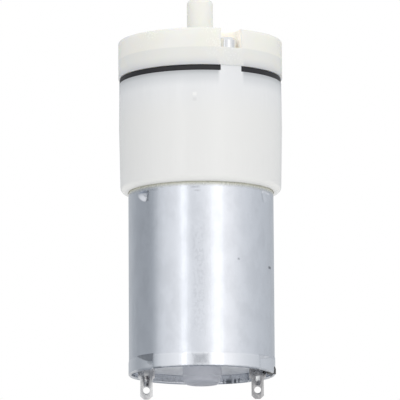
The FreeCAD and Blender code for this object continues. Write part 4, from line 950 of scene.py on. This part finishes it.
def ring_of_copies():
    """A Geometry Nodes tree that puts copies of an object round the Z axis, and its input names."""
    tree = bpy.data.node_groups.new("ring_of_copies", "GeometryNodeTree")
    tree.is_modifier = True
    graph = Graph(tree)
    tree.interface.new_socket("Geometry", in_out="OUTPUT", socket_type="NodeSocketGeometry")
    kinds = {"Original": "Object", "Count": "Int", "Ring Radius": "Float", "First Angle": "Float",
             "Finish": "Material"}
    names = {}
    for label, kind in kinds.items():
        made = tree.interface.new_socket(label, in_out="INPUT", socket_type="NodeSocket" + kind)
        names[label] = made.identifier
    given = {label: graph.node("NodeGroupInput", output=label) for label in kinds}
    index = graph.node("GeometryNodeInputIndex")
    angle = given["First Angle"] + index * (2 * math.pi) / given["Count"]
    across = given["Ring Radius"] * graph.combine("COSINE", angle)
    along = given["Ring Radius"] * graph.combine("SINE", angle)
    spot = graph.node("ShaderNodeCombineXYZ", sockets={0: across, 1: along})
    turn = graph.node("ShaderNodeCombineXYZ", sockets={2: angle})
    points = graph.node("GeometryNodePoints", sockets={"Count": given["Count"], "Position": spot})
    shape = graph.node("GeometryNodeObjectInfo", sockets={"Object": given["Original"]}, output="Geometry")
    sockets = {"Points": points, "Instance": shape, "Rotation": turn}
    placed = graph.node("GeometryNodeInstanceOnPoints", sockets=sockets)
    real = graph.node("GeometryNodeRealizeInstances", sockets={"Geometry": placed})
    done = graph.node("GeometryNodeSetMaterial", sockets={"Geometry": real, "Material": given["Finish"]})
    graph.node("NodeGroupOutput", sockets={0: done})
    return tree, names


ring_tree, ring_inputs = ring_of_copies()


def copies_round_axis(name, original, node_name, count, ring_radius, first_degrees,
                      body="root", stand=None):
    """Copies of an object round the Z axis, as one plain mesh that takes over a node. Stand is the matrix
    that puts the ring on another axis."""
    piece = object_from(name, bpy.data.meshes.new(name))
    spread = piece.modifiers.new("ring", "NODES")
    spread.node_group = ring_tree
    given = {"Original": original, "Count": count, "Ring Radius": ring_radius,
             "First Angle": math.radians(first_degrees), "Finish": FINISHES[slots[node_name]]}
    for label, value in given.items():
        spread[ring_inputs[label]] = value
    flatten_modifiers(piece)
    bpy.data.objects.remove(original)
    if stand:
        piece.data.transform(stand)
    take_over(piece, node_name, body)


print("inputs of the ring:", ", ".join(ring_inputs))

# %% [markdown]
# The lengths of the screws and the heights of their seats come from the boxes of the model's screws.
# The last cover screw of the ring points nearly to -X, so its head touches that side of the box, and
# that gives the radius of the ring.

# %% Screws
HEAD_RADIUS = 1.7 * MM
HEAD_SHANK = 0.9 * MM
MOUNTING_HEAD_RADIUS = 2.2 * MM
MOUNTING_HEAD_HEIGHT = 1.5 * MM
MOUNTING_SHANK = 1.25 * MM
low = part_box("head_screws")[0]
last_screw = math.radians(SCREW_ANGLE + 360 * (SCREWS - 1) / SCREWS)
SCREW_RING = (low.x + HEAD_RADIUS) / math.cos(last_screw)
head_screw = threaded_screw("head_screw", POCKET_FLOOR, HEAD_SHANK, POCKET_FLOOR - low.z,
                            HEAD_RADIUS, HEAD_SCREW_HEIGHT)
copies_round_axis("cover_screws", head_screw, "head_screws", SCREWS, SCREW_RING, SCREW_ANGLE)
low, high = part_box("motor_screws")
seat = high.z - MOUNTING_HEAD_HEIGHT
motor_screw = threaded_screw("motor_screw", seat, MOUNTING_SHANK, seat - low.z,
                             MOUNTING_HEAD_RADIUS, MOUNTING_HEAD_HEIGHT)
copies_round_axis("mounting_screws", motor_screw, "motor_screws", 2, FRONT_SCREW_PITCH, FRONT_SCREW_ANGLE)
print("screw ring", round(SCREW_RING / MM, 2), "mm")

# %% [markdown]
# Of the rubber diaphragm only the edge of its flange shows, as a black line between the mouldings.
# A pressed rubber edge is round, so just the two outer edges get a wide bevel, and a thin light
# shows along the middle of the line. Inside, three cups hang from the flange, and the arms of the
# wobble plate carry their floors by a stem with a bulb. Real cups roll as the plate rocks. Here each
# cup is split where it rolls: its wall stays with the flange, and its floor rides on the plate and
# slides in the wall as a piston does, so that the stems follow their arms.

# %% Diaphragm
FLANGE_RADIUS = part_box("diaphragm")[1].x
FLANGE_ROUND = 0.2 * MM
CUPS = 3
CUP_ANGLE = SCREW_ANGLE + 180 / CUPS
CUP_PITCH = 5.9 * MM
CUP_CUT = HOUSING_TOP - 0.03 * MM
CUP_WALL_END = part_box("diaphragm_seat")[0].z


def on_flange_edge(edge):
    """Whether an edge runs round the flange where its side meets its top or its underside."""
    radii = [math.hypot(vertex.co.x, vertex.co.y) for vertex in edge.verts]
    same_level = abs(edge.verts[0].co.z - edge.verts[1].co.z) < 0.01 * MM
    sharp = edge.calc_face_angle(0) > 1
    return min(radii) > FLANGE_RADIUS - 0.3 * MM and same_level and sharp


def in_order(mesh):
    """The same faces in a new mesh. The edge tools leave points and faces in an order that changes from
    run to run, so here the places decide it."""
    faces = []
    for face in mesh.polygons:
        corners = [mesh.vertices[index].co[:] for index in face.vertices]
        first = corners.index(min(corners))
        faces.append(corners[first:] + corners[:first])
    faces.sort()
    places = sorted({corner for face in faces for corner in face})
    numbers = {place: number for number, place in enumerate(places)}
    ordered = bpy.data.meshes.new(mesh.name)
    ordered.from_pydata(places, [], [[numbers[corner] for corner in face] for face in faces])
    return ordered


def with_straight_walls(mesh):
    """Cut the cups off just under the flange and draw their walls straight to the seat's underside."""
    work = bmesh.new()
    work.from_mesh(mesh)
    everything = work.verts[:] + work.edges[:] + work.faces[:]
    bmesh.ops.bisect_plane(work, geom=everything, dist=0.0001 * MM, plane_co=(0, 0, CUP_CUT),
                           plane_no=(0, 0, 1), clear_inner=True)
    rims = [edge for edge in work.edges if edge.is_boundary]
    drawn = bmesh.ops.extrude_edge_only(work, edges=rims)["geom"]
    for item in drawn:
        if isinstance(item, bmesh.types.BMVert):
            item.co.z = CUP_WALL_END
    ends = [item for item in drawn if isinstance(item, bmesh.types.BMEdge) and item.is_boundary]
    for cup in range(CUPS):
        own = []
        for edge in ends:
            middle = (edge.verts[0].co + edge.verts[1].co) / 2
            bearing = math.degrees(math.atan2(middle.y, middle.x))
            if abs(angle_between(bearing, CUP_ANGLE + cup * 360 / CUPS)) < 180 / CUPS:
                own.append(edge)
        bmesh.ops.bridge_loops(work, edges=own)
    bmesh.ops.recalc_face_normals(work, faces=work.faces)
    still_open = sum(edge.is_boundary for edge in work.edges)
    print("cup walls drawn from", len(rims), "edges, open edges left:", still_open)
    return in_order(mesh_from(work, mesh.name))


flange = copied_piece("diaphragm_rubber", "diaphragm", FLANGE_ROUND, 3, on_flange_edge)
flange.data = with_straight_walls(flange.data)
shade(flange.data)
take_over(flange, "diaphragm")

# %% [markdown]
# The floor of a cup is one more turned piece, with a lip that follows the wall, and a stem and a bulb
# that button it through the arm. It is drawn about the middle of the arm's thickness. The ring spreads
# the floors round the Z axis, and a matrix worked out from the wobble plate's own joint then stands
# that ring on the inclined axis.

# %% Cup floors


def cup_floor_section():
    """The floor of a cup with its lip, stem and bulb; height 0 is the middle of the arm that it grips."""
    under = 1.08 * MM
    floor = under + 0.7 * MM
    foot = 1.47 * MM
    inner, outer, lip = 2.05 * MM, 2.4 * MM, 3.4 * MM
    fillet, lip_round = 0.25 * MM, 0.1 * MM
    stem, bulb, bulb_height = 0.75 * MM, 1.3 * MM, 1.0 * MM
    rows = [(0, floor), (inner - fillet, floor), (inner, floor + fillet), (inner, lip - lip_round)]
    rows += [((inner + outer) / 2, lip), (outer, lip - lip_round), (outer, floor), (foot, under)]
    rows += [(stem, under), (stem, -under), (bulb, -under)]
    steps = 6
    for step in range(1, steps + 1):
        turn = math.radians(90 * step / steps)
        rows.append((bulb * math.cos(turn), -under - bulb_height * math.sin(turn)))
    return rows


rocking = next(joint for joint in record["behaviour"]["joints"] if joint["name"] == "wobble_turn")
plate_turn = Vector((0, 0, 1)).rotation_difference(Vector(rocking["axis"])).to_matrix().to_4x4()
plate_stand = Matrix.Translation(rocking["pos_m"]) @ plate_turn
cup_floor = object_from("cup_floor", turned_mesh("cup_floor", cup_floor_section(), 48))
shade(cup_floor.data, 35)
copies_round_axis("diaphragm_cup_floors", cup_floor, "diaphragm", CUPS, CUP_PITCH, CUP_ANGLE,
                  "wobble", plate_stand)

# %% [markdown]
# The camera stands 0.85 m away, low enough to look up at the pump by nine and a half degrees, so the
# end plate and the tabs are seen from below. From so far away a long lens is needed, which keeps
# upright lines nearly parallel. The lens is worked out from the wanted pixels per metre.

# %% Camera
CAMERA_DISTANCE = 0.85
CAMERA_RISE = 9.45
CAMERA_ROLL = -0.33
PIXELS_PER_METRE = 5943
IMAGE_PIXELS = 400
AIM = Vector((-0.00016, 0, 0.02976))
rise = math.radians(CAMERA_RISE)
forward = Vector((0, math.cos(rise), math.sin(rise)))
camera_data = bpy.data.cameras.new("camera")
camera_data.lens = PIXELS_PER_METRE * CAMERA_DISTANCE / IMAGE_PIXELS * camera_data.sensor_width
camera_data.clip_end = 10
camera = object_from("camera", camera_data)
turned = forward.to_track_quat("-Z", "Y").to_matrix().to_4x4()
roll = Matrix.Rotation(math.radians(CAMERA_ROLL), 4, "Z")
camera.matrix_world = Matrix.Translation(AIM - forward * CAMERA_DISTANCE) @ turned @ roll
bpy.context.scene.camera = camera
print("lens", round(camera_data.lens, 1))

# %% [markdown]
# Polished metal shows only what stands round it. The studio here is a ring of tones: a dark end on
# the left behind the camera, soft grey on the right, paler between, and two tall soft boxes that draw
# the two white stripes of the can. The ring is a colour ramp round the horizon, and it fades into a
# pale ceiling that lights the white plastic. Just under the horizon lies the bright far end of the
# table, and straight down is the dark of the pump's own shadow. The darker tones are a little cooler.

# %% Studio
bpy.context.scene.view_settings.view_transform = "Standard"
HEART = Vector((0, 0, 0.03))
SOFT_BOX_DISTANCE = 0.6
SOFT_BOXES = {"left_soft_box": (-27.5, 0.08, 0.62), "right_soft_box": (25.0, 0.19, 0.36)}
SOFT_BOX_HEIGHT = 0.9


def soft_box(name, angle, width, brightness):
    """A tall area lamp at an angle round the pump, with the brightness that a mirror would show."""
    data = bpy.data.lights.new(name, "AREA")
    data.shape = "RECTANGLE"
    data.size = width
    data.size_y = SOFT_BOX_HEIGHT
    data.energy = brightness * math.pi * width * SOFT_BOX_HEIGHT
    lamp = object_from(name, data)
    bearing = math.radians(angle)
    away = Vector((math.sin(bearing), -math.cos(bearing), 0))
    lamp.location = HEART + away * SOFT_BOX_DISTANCE
    lamp.rotation_euler = (-away).to_track_quat("-Z", "Y").to_euler()


for box_name, (angle, width, brightness) in SOFT_BOXES.items():
    soft_box(box_name, angle, width, brightness)

# The ring of tones: bearing in degrees from the camera, positive to the right, and brightness
RING = ((-180, 0.56), (-150, 0.55), (-124, 0.43), (-100, 0.41), (-86, 0.42), (-80, 0.51), (-74, 0.65),
        (-68, 0.78), (-52, 0.87), (-34, 0.97), (-26, 0.91), (-12, 0.89), (0, 0.94), (7, 1.01), (14, 1.06),
        (26, 1.02), (38, 1.10), (46, 1.06), (54, 0.97), (67, 0.84), (85, 0.74), (106, 0.66), (124, 0.61),
        (146, 0.57), (180, 0.56))
CEILING = 0.98
TABLE = 0.90
UNDER = (0.41, 0.44, 0.49)
COOLNESS = 0.09


def cool_tone(brightness):
    """A grey that is bluer where it is darker."""
    cool = COOLNESS * (1 - brightness)
    return (brightness * (1 - cool), brightness, brightness * (1 + cool), 1)


world = bpy.data.worlds.new("studio")
bpy.context.scene.world = world
world.use_nodes = True
sky = Graph(world.node_tree)
direction = sky.node("ShaderNodeTexCoord", output="Generated")
right, far, up = [sky.node("ShaderNodeSeparateXYZ", sockets={0: direction}, output=name) for name in "XYZ"]
bearing = sky.combine("ARCTAN2", right, far * -1)
stops = [(degrees / 360 + 0.5, cool_tone(brightness)) for degrees, brightness in RING]
ring = sky.node("ShaderNodeValToRGB", {"stops": stops}, {0: bearing / (2 * math.pi) + 0.5})
above = sky.mix(up.ramp(0.25, 0.75), ring, (CEILING, CEILING, CEILING))
behind = far.ramp(0.2, 0.8) * up.ramp(0.0, -0.06)
level = sky.mix(behind, above, (TABLE, TABLE, TABLE))
lit = sky.mix(up.ramp(-0.45, -0.62), level, UNDER)
tone = sky.mix(sky.node("ShaderNodeLightPath", output="Is Camera Ray"), lit, (1.0, 1.0, 1.0))
back = sky.node("ShaderNodeBackground", sockets={"Color": tone, "Strength": 1.0})
sky.node("ShaderNodeOutputWorld", sockets={"Surface": back})
print("studio tones:", len(RING))

# %% [markdown]
# The pump is seen slightly from below, as if it were held over a white sheet. The floor lies under
# the tips of its tabs and only its upper side is solid, so the camera looks up through it. It keeps
# the pump's shadow, but reflections pass through it to the tones of the studio.

# %% Floor
FLOOR_LEVEL = cad_box[0][2]
FLOOR_HALF = 0.6
corners = [(x * FLOOR_HALF, y * FLOOR_HALF, FLOOR_LEVEL) for x, y in ((-1, -1), (1, -1), (1, 1), (-1, 1))]
floor_mesh = bpy.data.meshes.new("floor")
floor_mesh.from_pydata(corners, [], [(0, 1, 2, 3)])
floor = object_from("floor", floor_mesh)
floor_material, graph = new_graph("pale_floor")
speckle = graph.noise(graph.place(), 40, 3)
paper = graph.mix(speckle, (0.90, 0.90, 0.90), (0.94, 0.94, 0.94))
shader = graph.node("ShaderNodeBsdfPrincipled", sockets={"Base Color": paper, "Roughness": 0.7})
clear = graph.node("ShaderNodeBsdfTransparent")
from_below = graph.node("ShaderNodeNewGeometry", output="Backfacing")
mirrored = graph.node("ShaderNodeLightPath", output="Is Glossy Ray")
see_through = (from_below + mirrored).at_most(1.0)
both = graph.node("ShaderNodeMixShader", sockets={0: see_through, 1: shader, 2: clear})
graph.node("ShaderNodeOutputMaterial", sockets={"Surface": both})
floor_mesh.materials.append(floor_material)
print("floor at", round(FLOOR_LEVEL / MM, 2), "mm")
